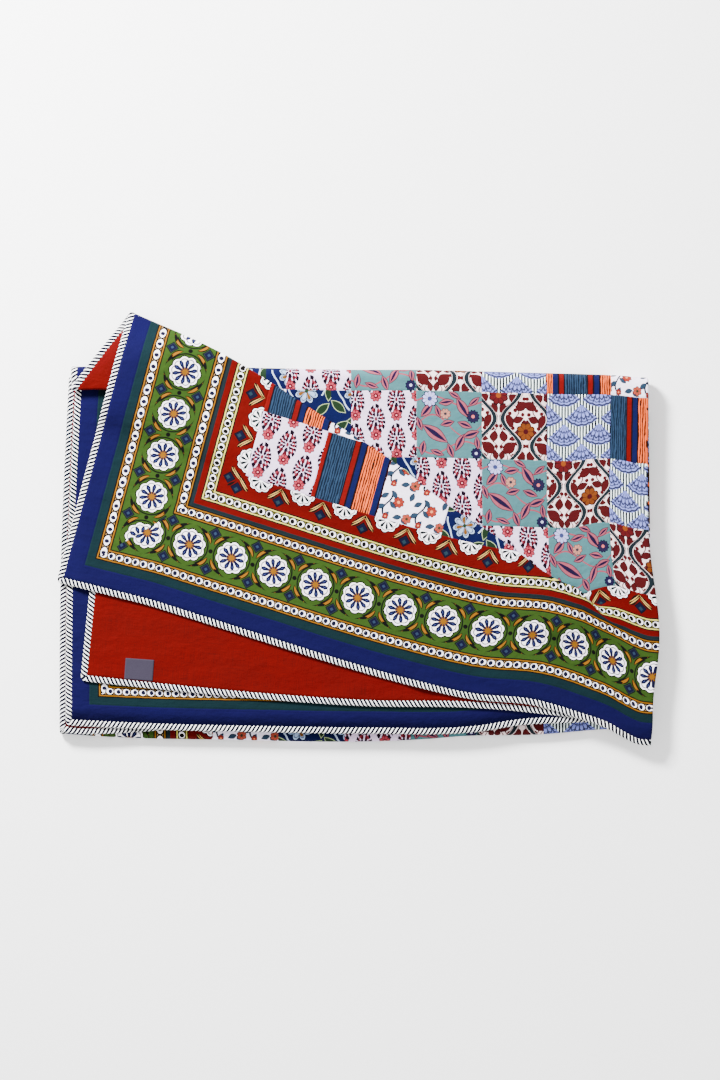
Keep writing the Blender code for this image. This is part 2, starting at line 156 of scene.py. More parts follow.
# Left ends of the lower panels where they enter and leave each fold; the right ends lie on the right fold.
RIGHT_NEAR_X = 551.0
RIGHT_FAR_X = 545.0
OUTER_LEFT = {"panel_1_near": -561.0, "panel_2_near": -561.0, "panel_2_far": -545.0,
              "panel_3_far": -545.0, "panel_3_near": -561.0}
INNER_LEFT = {"panel_1_near": -549.0, "panel_2_near": -549.0, "panel_2_far": -531.0,
              "panel_3_far": -531.0, "panel_3_near": -549.0}
INNER_FAR_Y = (287.0, 272.0)
LEFT_BOW = -6.0

# Where the tuck fades out into plain cloth at its right hand end, and how its turns open there.
TUCK_FADES = (940.0, 1080.0)
APEX_RISES = (790.0, 950.0)
APEX_ROOM = 2.5
APEX_SLOPE = 2.6
APEX_OPENS = (960.0, 1000.0)

# Where the quilt is pinched thin at the tuck's right hand end, how far round, and by what share.
PINCH_PLACE = (438.0, -139.0)
PINCH_REACH = 26.0
PINCH_SHARE = 0.6

# Level of the top layer over the tuck and where there is none, how far past the tuck it takes to come down,
# and how much it sinks beyond the stack's far edge.
TUCK_TOP = 46.5
FLAP_LEVEL = 36.5
TUCK_SHOULDER = (40.0, 85.0)
FAR_DROOP = np.array([(325, 0), (339, 2.5), (365, 13.5), (388, 25.5), (412, 32.5)], float)
CORNER_DROP = 4.5
CORNER_X = (-526.0, -562.0)
NEAR_SUPPORT_Y = -376.0
NEAR_DROP = 0.25

# The right hand fold of the top two layers stands out in the middle: height of the bulge, place, reach. And
# between which shares of the width it fades towards the left.
RIGHT_BULGES = ((26.0, -205.0, 140.0), (9.0, -388.0, 60.0))
BULGE_FADES = (0.55, 1.0)

# More room between flap and strip at the far left corner, where both bend beyond the stack's far edge, the
# least distance and share to that bend, and how far past the strip the flap has a row.
CORNER_ROOM = 1.8
CORNER_ROOM_ENDS = (60.0, 160.0)
BEND_Y = 336.0
BEND_LEAST = 28.0
STRIP_BEND_LEAST = 0.25
PAST_STRIP = 8.0

# Which way a fold bulges along Y.
FAR, NEAR = 1.0, -1.0

# Places along a panel where the grid has a row, numbers of steps between the coarse rows of the top layer,
# and places across where the grid has a column.
NEAR_ROW = 24.0
ARC_STEPS = 8
FAR_ARC_STEPS = 12
FLAP_STEPS = (3, 16, 16, 5, 5, 4)
STRIP_STEPS = (3, 3)
FAR_STEPS = (14, 18)
STRAIGHT_PLACES = (
    0.0, 0.036, 0.100, 0.170, 0.227, 0.263, 0.270, 0.286, 0.325, 0.364, 0.380, 0.65, 1.0,
)
PANEL_1_ROWS = (0.03, 0.2, 0.4, 0.6, 0.8)
PANEL_2_ROWS = (0.17, 0.33, 0.5, 0.67, 0.83)
PANEL_3_ROWS = (0.12, 0.25, 0.38, 0.5, 0.6, 0.7, 0.8, 0.9, 0.96)
OUTER_KNOTS = (
    0, 28, 57, 85, 114, 142, 171, 220, 300, 386, 460, 536, 600, 663, 726, 790, 860, 915, 950, 968, 978, 985,
    992, 1002, 1018, 1045, 1080, 1102, 1121,
)
INNER_KNOTS = (0, 28, 57, 114, 230, 346, 547, 768, 864, 935, 1005, 1051, 1074, 1094)
OUTER_PARTS, INNER_PARTS = 4, 5
HAIRPIN_STEPS = 8

# The grid's rows at the crease, at the tuck's hidden fold and over the whole top layer, and the columns of
# the outer ply.
CREASE_ROW = sum(FLAP_STEPS)
TUCK_ROW = CREASE_ROW + 2 * ARC_STEPS + sum(STRIP_STEPS)
LAYER_ROWS = TUCK_ROW + sum(FAR_STEPS) + 1
OUTER_COLUMNS = OUTER_PARTS * (len(OUTER_KNOTS) - 1) + 1

# Soft waves on the top layer, with how many rows and what share of the columns at its ends they fade over.
WAVE_HEIGHT = 0.7
WAVE_FADE_ROWS = 6.0
WAVE_FADE_FROM = 0.86

# Ridges on the top layer: from x, y to x, y, height and width.
RIDGES = (
    (60.0, -235.0, 150.0, -330.0, 3.0, 16.0), (150.0, -210.0, 270.0, -300.0, 2.2, 20.0),
    (-300.0, -60.0, -180.0, 60.0, 1.6, 30.0), (230.0, 60.0, 330.0, -60.0, 1.4, 26.0),
    (340.0, -180.0, 470.0, -290.0, 2.4, 24.0), (-470.0, 60.0, -380.0, 30.0, 1.4, 12.0),
    (-440.0, 130.0, -350.0, 105.0, 1.2, 10.0), (20.0, 250.0, 160.0, 235.0, 1.2, 18.0),
)


# The stage, in metres: a white paper floor, just under the quilt, that glows a little.
FLOOR_HALF = 9
FLOOR_DROP = 0.0005
PAPER_TONE = 0.92
PAPER_ROUGHNESS = 0.9
PAPER_GLOW = 0.25

# The light from all round, and the lamps: name, place, size and power.
WORLD_LIGHT = 1.25
LAMPS = (("key", (-2.1, 2.5, 2.2), 0.9, 980.0), ("fill", (1.6, -2.4, 3.2), 3.0, 60.0))

# The camera looks down, a little from the near side: its distance and tilt, how wide it sees there, how far
# it sees, the width of its sensor, and the place it is aimed at, in millimetres.
CAMERA_AWAY = 8.0
CAMERA_TILT = math.radians(2.0)
FRAME_WIDE = 1.368
CAMERA_SIGHT = 50.0
SENSOR_WIDE = 36.0
AIM = (0.0, -19.0, 30.0)


def smooth_step(low, high, at):
    """0 below low, 1 above high, and an even S between them."""
    share = np.clip((np.asarray(at, float) - low) / (high - low), 0.0, 1.0)
    return share * share * (3 - 2 * share)


def curve(knots, values, at):
    """A smooth line through the knots: cubic pieces whose slopes are those between neighbouring knots."""
    at = np.asarray(at, float)
    slopes = np.gradient(values, knots)
    cell = np.clip(np.searchsorted(knots, at) - 1, 0, len(knots) - 2)
    width = knots[cell + 1] - knots[cell]
    t = np.clip((at - knots[cell]) / width, 0.0, 1.0)
    return (
        (1 + 2 * t) * (1 - t) ** 2 * values[cell]
        + t * (1 - t) ** 2 * width * slopes[cell]
        + t * t * (3 - 2 * t) * values[cell + 1]
        + t * t * (t - 1) * width * slopes[cell + 1]
    )


def column(table, names, name, at):
    """The named column of a table, read at distances across."""
    return curve(table[:, 0], table[:, names.index(name)], at)


def readings(table, names, at):
    """All named columns of a table, read at distances across."""
    return {name: column(table, names, name, at) for name in names[1:]}


def point(x, y, z):
    """An array of points from three arrays or numbers."""
    return np.stack(np.broadcast_arrays(x, y, z), -1).astype(float)


def mix(a, b, share):
    """Part way from a to b."""
    share = np.asarray(share, float)
    if share.ndim:
        share = share[..., None]
    return a + (b - a) * share


def unit(vectors):
    """Vectors made one long."""
    return vectors / np.maximum(np.linalg.norm(vectors, axis=-1, keepdims=True), 1e-9)


def half_turn(start, end, way, steps):
    """Lines round a half circle from start to end, without these two: each is the chord's point plus the
    way out times the sine of the line's angle, and the chord is walked by the cosine."""
    angles = [math.pi * step / steps for step in range(1, steps)]
    return [mix(start, end, (1 - math.cos(angle)) / 2) + way * math.sin(angle) for angle in angles]


def fold_turn(start, end, side, steps):
    """A half circle between two levels, which bulges along Y by half the height between them: away from the
    near edge at the far folds (side 1) and towards it at the near fold (side -1)."""
    radius = abs(end[..., 2] - start[..., 2])[..., None] / 2
    return half_turn(start, end, np.array([0.0, side, 0.0]) * radius, steps)


def with_bulge(points, across, width):
    """Moves a layer's right hand part out by the fold's bulges, fading towards the left."""
    hold = smooth_step(*BULGE_FADES, across / width)
    for height, place, reach in RIGHT_BULGES:
        points[..., 0] += hold * height * np.exp(-(((points[..., 1] - place) / reach) ** 2))
    return points


def near_droop(points):
    """Cloth that reaches past the stack's near edge sinks evenly with its distance from it."""
    points[..., 2] -= NEAR_DROP * np.maximum(0.0, NEAR_SUPPORT_Y - points[..., 1])
    return points


def short_of_tuck(points):
    """How far a place lies on the near side of the tuck's hidden fold, and nothing beyond it."""
    across = np.linspace(0.0, OUTER_WIDTH, 120)
    fold_x = column(TOP_LAYER, TOP_LAYER_COLUMNS, "tuck_x", across)
    fold_y = column(TOP_LAYER, TOP_LAYER_COLUMNS, "tuck_y", across)
    away = np.hypot(points[..., :1] - fold_x, points[..., 1:2] - fold_y).min(-1)
    return np.where(points[..., 1] < np.interp(points[..., 0], fold_x, fold_y), away, 0.0)


def top_surface(points):
    """Level of the top layer's uppermost run by place: over the tuck, and sinking beyond the far edge."""
    return TUCK_TOP - np.interp(points[..., 1], FAR_DROOP[:, 0], FAR_DROOP[:, 1])


def stepped(values, steps):
    """Values with that many even steps between each neighbouring pair, ends included."""
    places = [k + i / n for k, n in enumerate(steps) for i in range(n)] + [len(steps)]
    return np.interp(places, np.arange(len(values)), values)


def tucked_rows(across):
    """The top layer with its tuck: flap, crease, hidden strip, hidden fold and far part, in rows.

    A row of the flap is a point on the straight line from the near edge to the crease. A row of a turn is
    the turn's line plus its reach times the sine of the row's angle, and its depth grows with one minus the
    cosine. All heights are the top surface's level at that place less the row's depth under it."""
    read = readings(TOP_LAYER, TOP_LAYER_COLUMNS, across)
    edge = point(read["edge_x"], read["edge_y"], 0.0)
    crease = point(read["crease_x"], read["crease_y"], 0.0)
    tuck = point(read["tuck_x"], read["tuck_y"], 0.0)
    far = point(read["far_x"], read["far_y"], 0.0)
    crease_out = unit(unit(crease - edge) - unit(tuck - crease))
    tuck_out = unit(unit(tuck - crease) - unit(far - tuck))
    crease_line = crease - crease_out * FOLD_RADIUS
    tuck_line = tuck - tuck_out * FOLD_RADIUS
    strip = np.linalg.norm(tuck - crease, axis=-1)
    flap = np.linalg.norm(crease_line - edge, axis=-1)
    open_part = flap - strip - TUCK_SHOULDER[1]
    beyond = crease[..., 1] - BEND_Y
    bend = np.maximum(beyond / unit(crease - edge)[..., 1], BEND_LEAST)
    strip_bend = np.maximum(beyond / (crease - tuck)[..., 1], STRIP_BEND_LEAST)
    aways = [
        flap, flap - NEAR_ROW, flap - open_part * 0.5, flap - open_part, strip + PAST_STRIP, bend, flap * 0,
    ]
    at_apex = smooth_step(*APEX_RISES, across)
    at_corner = 1 - smooth_step(*CORNER_ROOM_ENDS, across)
    strip_room = PITCH + APEX_ROOM * at_apex + CORNER_ROOM * at_corner
    flap_room = strip_room + CORNER_ROOM * at_corner
    lift = flap_room + strip_room - 2 * PITCH
    slope = APEX_SLOPE * at_apex
    reach = strip_room / 2 * (1 - smooth_step(*APEX_OPENS, across))
    rows, depths = [], []
    for number, steps in enumerate(FLAP_STEPS):
        for step in range(steps):
            away = aways[number] + (aways[number + 1] - aways[number]) * step / steps
            row = mix(edge, crease_line, 1 - away / flap)
            short = smooth_step(*TUCK_SHOULDER, short_of_tuck(row))
            depth = (TUCK_TOP - FLAP_LEVEL + lift) * short
            rows.append(row)
            depths.append(depth + CORNER_DROP * smooth_step(*CORNER_X, row[..., 0]))
    turns = (
        (crease_line, crease_out, 0.0, flap_room - slope),
        (tuck_line, tuck_out, flap_room + slope, strip_room - slope),
    )
    for line, out, depth, drop in turns:
        for step in range(ARC_STEPS + 1):
            angle = math.pi * step / ARC_STEPS
            rows.append(line + out * (reach * math.sin(angle))[:, None])
            depths.append(depth + drop * (1 - math.cos(angle)) / 2)
        if line is crease_line:
            first, second = STRIP_STEPS
            shares = [strip_bend * (k + 1) / first for k in range(first)]
            shares += [strip_bend + (1 - strip_bend) * (k + 1) / second for k in range(second - 1)]
            rows += [mix(crease_line, tuck_line, share) for share in shares]
            depths += [flap_room - slope + 2 * slope * share for share in shares]
    for share in stepped((0.0, 0.5, 1.0), FAR_STEPS)[1:]:
        rows.append(mix(tuck_line, far, share))
        depths.append(flap_room + strip_room)
    for row, depth in zip(rows, depths):
        row[..., 2] = top_surface(row) + lift - depth
    rows = np.array(rows)
    end = point(read["far_x"], read["far_y"], OUTER_LEVELS[1])
    return np.concatenate([rows, fold_turn(rows[-1], end, FAR, FAR_ARC_STEPS), [end]])


def straight_rows(edge, far):
    """A layer with no tuck, from its near edge to its far fold, with as many rows as the tucked one."""
    steps = (*FLAP_STEPS, ARC_STEPS, *STRIP_STEPS, ARC_STEPS, *FAR_STEPS)
    return np.array([mix(edge, far, place) for place in stepped(STRAIGHT_PLACES, steps)])


def outer_panel_0(across):
    """The top layer and its far fold, with its tuck faded out into plain cloth at the right."""
    rows = tucked_rows(across)
    read = readings(TOP_LAYER, TOP_LAYER_COLUMNS, across)
    far = point(read["far_x"], read["far_y"], OUTER_LEVELS[0])
    straight = straight_rows(point(read["edge_x"], read["edge_y"], OUTER_LEVELS[0]), far)
    end = point(read["far_x"], read["far_y"], OUTER_LEVELS[1])
    straight = np.concatenate([straight, fold_turn(far, end, FAR, FAR_ARC_STEPS), [end]])
    rows = mix(rows, straight, np.broadcast_to(smooth_step(*TUCK_FADES, across), rows.shape[:2]))
    rows[:LAYER_ROWS] = near_droop(with_bulge(rows[:LAYER_ROWS], across, OUTER_WIDTH))
    return rows


def inner_panel_0(across):
    """The layer under the top one and its far fold."""
    read = readings(UNDER_LAYER, UNDER_LAYER_COLUMNS, across)
    edge = point(read["edge_x"], read["edge_y"], INNER_LEVELS[0])
    far = point(read["far_x"], read["far_y"], INNER_LEVELS[0])
    rows = near_droop(with_bulge(straight_rows(edge, far), across, INNER_WIDTH))
    end = point(read["leave_x"], read["far_y"], INNER_LEVELS[1])
    return np.concatenate([rows, fold_turn(far, end, FAR, FAR_ARC_STEPS), [end]])


def lower_panels(start, across, width, left, levels, ends):
    """Panels 1 to 3 of one ply, from the end of its far fold: straight, with bowed left edges."""
    share = across / width
    x = {}
    for name, left_x in left.items():
        right_x = RIGHT_NEAR_X if name.endswith("near") else RIGHT_FAR_X
        x[name] = left_x + (right_x - left_x) * share
    near_y = curve(NEAR_FOLD[:, 0], NEAR_FOLD[:, 1], x["panel_1_near"])
    far_y = INNER_FAR_Y[0] + (INNER_FAR_Y[1] - INNER_FAR_Y[0]) * share
    end_y = curve(ends[:, 0], ends[:, 1], x["panel_3_near"])
    near_1 = point(x["panel_1_near"], near_y, levels[1])
    near_2 = point(x["panel_2_near"], near_y, levels[2])
    far_2 = point(x["panel_2_far"], far_y, levels[2])
    far_3 = point(x["panel_3_far"], far_y, levels[3])
    end = point(x["panel_3_near"], end_y, levels[3])
    bow = LEFT_BOW * (1 - share) ** 3

    def between(a, b, places):
        rows = []
        for place in places:
            row = mix(a, b, place)
            row[..., 0] += bow * math.sin(math.pi * place)
            rows.append(row)
        return rows

    rows = between(start, near_1, PANEL_1_ROWS) + [near_1]
    rows += fold_turn(near_1, near_2, NEAR, ARC_STEPS) + [near_2]
    rows += between(near_2, far_2, PANEL_2_ROWS) + [far_2]
    rows += fold_turn(far_2, far_3, FAR, ARC_STEPS) + [far_3]
    rows += between(far_3, end, PANEL_3_ROWS) + [end]
    return np.array(rows)


def hairpin(outer, inner):
    """Columns round the right hand fold, from the outer ply to the inner one."""
    radius = np.linalg.norm(outer - inner, axis=-1, keepdims=True) / 2
    return half_turn(outer, inner, np.array([1.0, 0.0, 0.0]) * radius, HAIRPIN_STEPS)


def quilt_middle():
    """The middle of the quilt's thickness, as rows along its length and columns from left edge to left
    edge, and each point's place on the flat quilt.

    The place along is the length walked down the column, evened out between the middles of the folds. On
    the tucked layer it is walked from the near edge as far as the crease and from the far fold as far as
    the tuck."""
    across_outer = stepped(OUTER_KNOTS, [OUTER_PARTS] * (len(OUTER_KNOTS) - 1))
    across_inner = stepped(INNER_KNOTS, [INNER_PARTS] * (len(INNER_KNOTS) - 1))
    outer = outer_panel_0(across_outer)
    inner = inner_panel_0(across_inner)
    outer = np.concatenate([
        outer, lower_panels(outer[-1], across_outer, OUTER_WIDTH, OUTER_LEFT, OUTER_LEVELS, OUTER_END),
    ])
    inner = np.concatenate([
        inner, lower_panels(inner[-1], across_inner, INNER_WIDTH, INNER_LEFT, INNER_LEVELS, INNER_END),
    ])
    turn = hairpin(outer[:, -1], inner[:, -1])
    grid = np.concatenate([outer, np.stack(turn, 1), inner[:, ::-1]], 1)
    across = np.concatenate([
        across_outer, np.full(len(turn), OUTER_WIDTH), (QUILT_WIDTH - across_inner)[::-1],
    ])
    walked = np.zeros(grid.shape[:2])
    walked[1:] = np.cumsum(np.linalg.norm(np.diff(grid, axis=0), axis=-1), axis=0)
    far_1 = LAYER_ROWS - 1 + FAR_ARC_STEPS // 2
    near_1 = LAYER_ROWS - 1 + FAR_ARC_STEPS + len(PANEL_1_ROWS) + 1 + ARC_STEPS // 2
    far_2 = near_1 + ARC_STEPS // 2 + len(PANEL_2_ROWS) + 1 + ARC_STEPS // 2
    marks = (0, far_1, near_1, far_2, len(grid) - 1)
    along = np.zeros_like(walked)
    for panel, (low, high) in enumerate(zip(marks, marks[1:])):
        part = walked[low:high + 1]
        along[low:high + 1] = PANEL * (panel + (part - part[0]) / (part[-1] - part[0]))
    past = np.clip((np.arange(far_1 + 1) - CREASE_ROW) / (TUCK_ROW - CREASE_ROW), 0, 1)[:, None]
    tucked = walked[:far_1 + 1] + past * (PANEL - walked[far_1])
    share = np.where(across <= OUTER_WIDTH, 1 - smooth_step(*TUCK_FADES, across), 0.0)
    along[:far_1 + 1] += (tucked - along[:far_1 + 1]) * share
    grid[..., 0] -= CENTRE[0]
    grid[..., 1] -= CENTRE[1]
    return grid, np.stack([np.broadcast_to(across, along.shape), along], -1)


def grid_normals(grid):
    """The direction out of the printed side at each point, from its neighbours along and across."""
    along = np.gradient(grid, axis=0)
    over = np.gradient(grid, axis=1)
    return unit(np.cross(over, along))


def half_thickness(grid):
    """Half the quilt's thickness: it is pinched thin inside the tuck's right hand end."""
    away = np.hypot(grid[..., 0] + CENTRE[0] - PINCH_PLACE[0], grid[..., 1] + CENTRE[1] - PINCH_PLACE[1])
    pinch = 1 - smooth_step(PINCH_REACH, 2 * PINCH_REACH, away)
    pinch[:CREASE_ROW - FLAP_STEPS[-1]] = 0.0
    pinch[TUCK_ROW + 1:] = 0.0
    pinch[:, OUTER_COLUMNS:] = 0.0
    return (QUILT_THICK / 2 * (1 - PINCH_SHARE * pinch))[..., None]


def rim_path(grid, normals):
    """The piping's middle line and its outward and upward directions, once round, rounded at corners."""
    stand_off = PIPING_WIDE / 2 + SEAM_GAP
    sides = (
        (grid[0], grid[1], normals[0]),
        (grid[:, -1], grid[:, -2], normals[:, -1]),
        (grid[-1, ::-1], grid[-2, ::-1], normals[-1, ::-1]),
        (grid[::-1, 0], grid[::-1, 1], normals[::-1, 0]),
    )
    edges = []
    for line, inside, up in sides:
        tangent = unit(np.gradient(line, axis=0))
        out = line - inside
        out -= tangent * (out * tangent).sum(-1, keepdims=True)
        out -= up * (out * up).sum(-1, keepdims=True)
        edges.append((line, unit(out), up))
    centres, outs, ups, leans = [], [], [], []
    for number, (line, out, up) in enumerate(edges):
        lean, next_lean = LEANS[number], LEANS[(number + 1) % len(edges)]
        leans.append(np.full(len(line) - 2, lean))
        centres.append(line[1:-1] + out[1:-1] * stand_off)
        outs.append(out[1:-1])
        ups.append(up[1:-1])
        following = edges[(number + 1) % len(edges)][1][0]
        for turn in range(PIPING_TURNS + 1):
            angle = 0.5 * math.pi * turn / PIPING_TURNS
            way = unit(out[-1] * math.cos(angle) + following * math.sin(angle))
            centres.append((line[-1] + way * stand_off)[None])
            outs.append(way[None])
            ups.append(up[-1][None])
            leans.append(np.array([lean + (next_lean - lean) * turn / PIPING_TURNS]))
    centres, outs, ups, leans = (np.concatenate(part) for part in (centres, outs, ups, leans))
    centres[:, 2] = np.maximum(centres[:, 2], PIPING_PUFF / 2 + OFF_FLOOR)
    return centres, outs, ups, leans


def add_mesh(name, points, faces, places, flat_from=None):
    """An object from points in millimetres, triangles, and each point's place on the flat quilt in
    millimetres, which becomes the UV map "cloth" in metres. Faces from number flat_from on are shaded
    flat."""
    mesh = bpy.data.meshes.new(name)
    mesh.vertices.add(len(points))
    mesh.vertices.foreach_set("co", (np.asarray(points) * MM).astype(np.float32).ravel())
    faces = np.asarray(faces, np.int32)
    mesh.loops.add(faces.size)
    mesh.loops.foreach_set("vertex_index", faces.ravel())
    mesh.polygons.add(len(faces))
    mesh.polygons.foreach_set("loop_start", np.arange(0, faces.size, 3, dtype=np.int32))
    smooth = np.ones(len(faces), bool)
    if flat_from is not None:
        smooth[flat_from:] = False
    mesh.polygons.foreach_set("use_smooth", smooth)
    layer = mesh.uv_layers.new(name="cloth")
    layer.data.foreach_set("uv", (np.asarray(places)[faces.ravel()] * MM).astype(np.float32).ravel())
    mesh.update()
    mesh.validate()
    piece = bpy.data.objects.new(name, mesh)
    bpy.context.scene.collection.objects.link(piece)
    return piece


def outward(points, faces):
    """The faces turned, if need be, so that the closed mesh has a positive volume."""
    a, b, c = (points[faces[:, k]] for k in range(3))
    return faces if (a * np.cross(b, c)).sum() > 0 else faces[:, ::-1]


def grid_triangles(index):
    """Two triangles for each cell of a grid of point numbers."""
    a, b = index[:-1, :-1].ravel(), index[:-1, 1:].ravel()
    c, d = index[1:, 1:].ravel(), index[1:, :-1].ravel()
    return np.concatenate([np.stack([a, b, c], 1), np.stack([a, c, d], 1)])


def sheet(name, grid, normals, places, low, high):
    """One closed sheet between two heights off the middle: the grid moved along its normals by each height,
    and a rim of flat faces that joins the two."""
    rows, columns = grid.shape[:2]
    points = np.concatenate([(grid + normals * high).reshape(-1, 3), (grid + normals * low).reshape(-1, 3)])
    index = np.arange(rows * columns).reshape(rows, columns)
    top = grid_triangles(index)
    rim = np.concatenate([index[0, :-1], index[:-1, -1], index[-1, :0:-1], index[:0:-1, 0]])
    after = np.roll(rim, -1)
    under = rows * columns
    walls = np.concatenate([
        np.stack([rim, rim + under, after + under], 1),
        np.stack([rim, after + under, after], 1),
    ])
    faces = np.concatenate([top, top[:, ::-1] + under, walls])
    flat = np.concatenate([places.reshape(-1, 2)] * 2)
    return add_mesh(name, points, outward(points, faces), flat, flat_from=2 * len(top))


def piping(name, centres, outs, ups, leans):
    """A closed ring of flat rounded sections that lap over the quilt's edge: middle line plus outward times
    the rounded cosine and up times the rounded sine of the angle. Its places are the distance along the
    ring and round the section, the latter with the side's own sign, so that the stripes lean either way."""
    angles = np.arange(PIPING_SIDES + 1) * 2 * math.pi / PIPING_SIDES
    cos, sin = np.cos(angles), np.sin(angles)
    flat_cos = np.sign(cos) * np.abs(cos) ** ROUND_ACROSS
    flat_sin = np.sign(sin) * np.abs(sin) ** ROUND_UP
    section = (
        centres[:, None]
        + outs[:, None] * (flat_cos * (PIPING_WIDE + PIPING_LAP) / 2 - PIPING_LAP / 2)[None, :, None]
        + ups[:, None] * (flat_sin * PIPING_PUFF / 2)[None, :, None]
    )
    section = np.concatenate([section, section[:1]])
    rings = len(section)
    walked = np.zeros(rings)
    closed = np.concatenate([centres, centres[:1]])
    walked[1:] = np.cumsum(np.linalg.norm(np.diff(closed, axis=0), axis=-1))
    leans = np.concatenate([leans, leans[:1]])
    round_it = (angles - math.pi) / math.pi * (PIPING_WIDE + PIPING_LAP)
    places = np.stack([np.repeat(walked[:, None], len(angles), 1), leans[:, None] * round_it[None]], -1)
    faces = grid_triangles(np.arange(rings * (PIPING_SIDES + 1)).reshape(rings, -1))
    points = section.reshape(-1, 3)
    return add_mesh(name, points, outward(points, faces), places.reshape(-1, 2))


class Formula:
    """A number that varies over the surface, kept as a node's output. Arithmetic on it adds Math nodes."""

    def __init__(self, tree, socket):
        self.tree, self.socket = tree, socket

    def math(self, operation, *others):
        node = self.tree.nodes.new("ShaderNodeMath")
        node.operation = operation
        for slot, value in zip(node.inputs, (self, *others)):
            if isinstance(value, Formula):
                self.tree.links.new(value.socket, slot)
            else:
                slot.default_value = value
        return Formula(self.tree, node.outputs[0])

    def __add__(self, other):
        return self.math("ADD", other)

    def __sub__(self, other):
        return self.math("SUBTRACT", other)

    def __rsub__(self, other):
        return self.math("MULTIPLY", -1.0).math("ADD", other)

    def __mul__(self, other):
        return self.math("MULTIPLY", other)

    def __truediv__(self, other):
        return self.math("DIVIDE", other)

    def __gt__(self, other):
        return self.math("GREATER_THAN", other)

    def __lt__(self, other):
        return self.math("LESS_THAN", other)

    def wave(self):
        return self.math("SINE")

    def cosine(self):
        return self.math("COSINE")

    def within(self, size):
        """The remainder after whole steps of that size, always positive."""
        return self.math("FLOORED_MODULO", size)

    def least(self, other):
        return self.math("MINIMUM", other)

    def most(self, other):
        return self.math("MAXIMUM", other)

    def size(self):
        return self.math("ABSOLUTE")

    def whole(self):
        return self.math("FLOOR")

    def both(self, other):
        return self.math("MULTIPLY", other)

    def blend(self, other, share):
        """Part way from this to the other: this plus share times the difference."""
        return (other - self).math("MULTIPLY_ADD", share, self)


def reach(x, y):
    """Distance from the point zero: the root of x squared plus y squared."""
    return x.math("MULTIPLY_ADD", x, y * y).math("SQRT")


def bearing(x, y):
    """Angle about the point zero, in radians."""
    return y.math("ARCTAN2", x)


def turned(x, y, degrees):
    """The point seen in axes turned by that angle."""
    c, s = math.cos(math.radians(degrees)), math.sin(math.radians(degrees))
    return x * c + y * s, y * c - x * s


def shade(colour):
    """A display colour of 0 to 255 as the cloth's own colour under this scene's light and film-like
    display: a power of the linear colour, over a power of one less most of it, so that light tones open
    up."""
    linear = [((v / 255 + 0.055) / 1.055) ** 2.4 if v > 10 else v / 255 / 12.92 for v in colour]
    return tuple(min(0.080 * v ** 0.72 / (1 - 0.747 * v) ** 2, 0.9) for v in linear) + (1.0,)


def ink(tree, under, colour, mask):
    """Prints a colour, or another design, over a colour or design where the mask is one."""
    node = tree.nodes.new("ShaderNodeMix")
    node.data_type = "RGBA"
    tree.links.new(mask.socket, node.inputs[0])
    for slot, value in zip([n for n in node.inputs if n.type == "RGBA"], (under, colour)):
        if isinstance(value, tuple):
            slot.default_value = shade(value)
        else:
            tree.links.new(value, slot)
    return [n for n in node.outputs if n.type == "RGBA"][0]


def inks(tree, under, *layers):
    """Prints layer upon layer, each a colour or design and its mask."""
    for colour, mask in layers:
        under = ink(tree, under, colour, mask)
    return under


def near(value, middle, reach_each_way):
    """A mask that is one where the value is less than that far from the middle."""
    return (value - middle).size() < reach_each_way


# How cotton takes the light.
SPECULAR = 0.06
SHEEN_ROUGHNESS = 0.5
BUMP_STRENGTH = 0.8


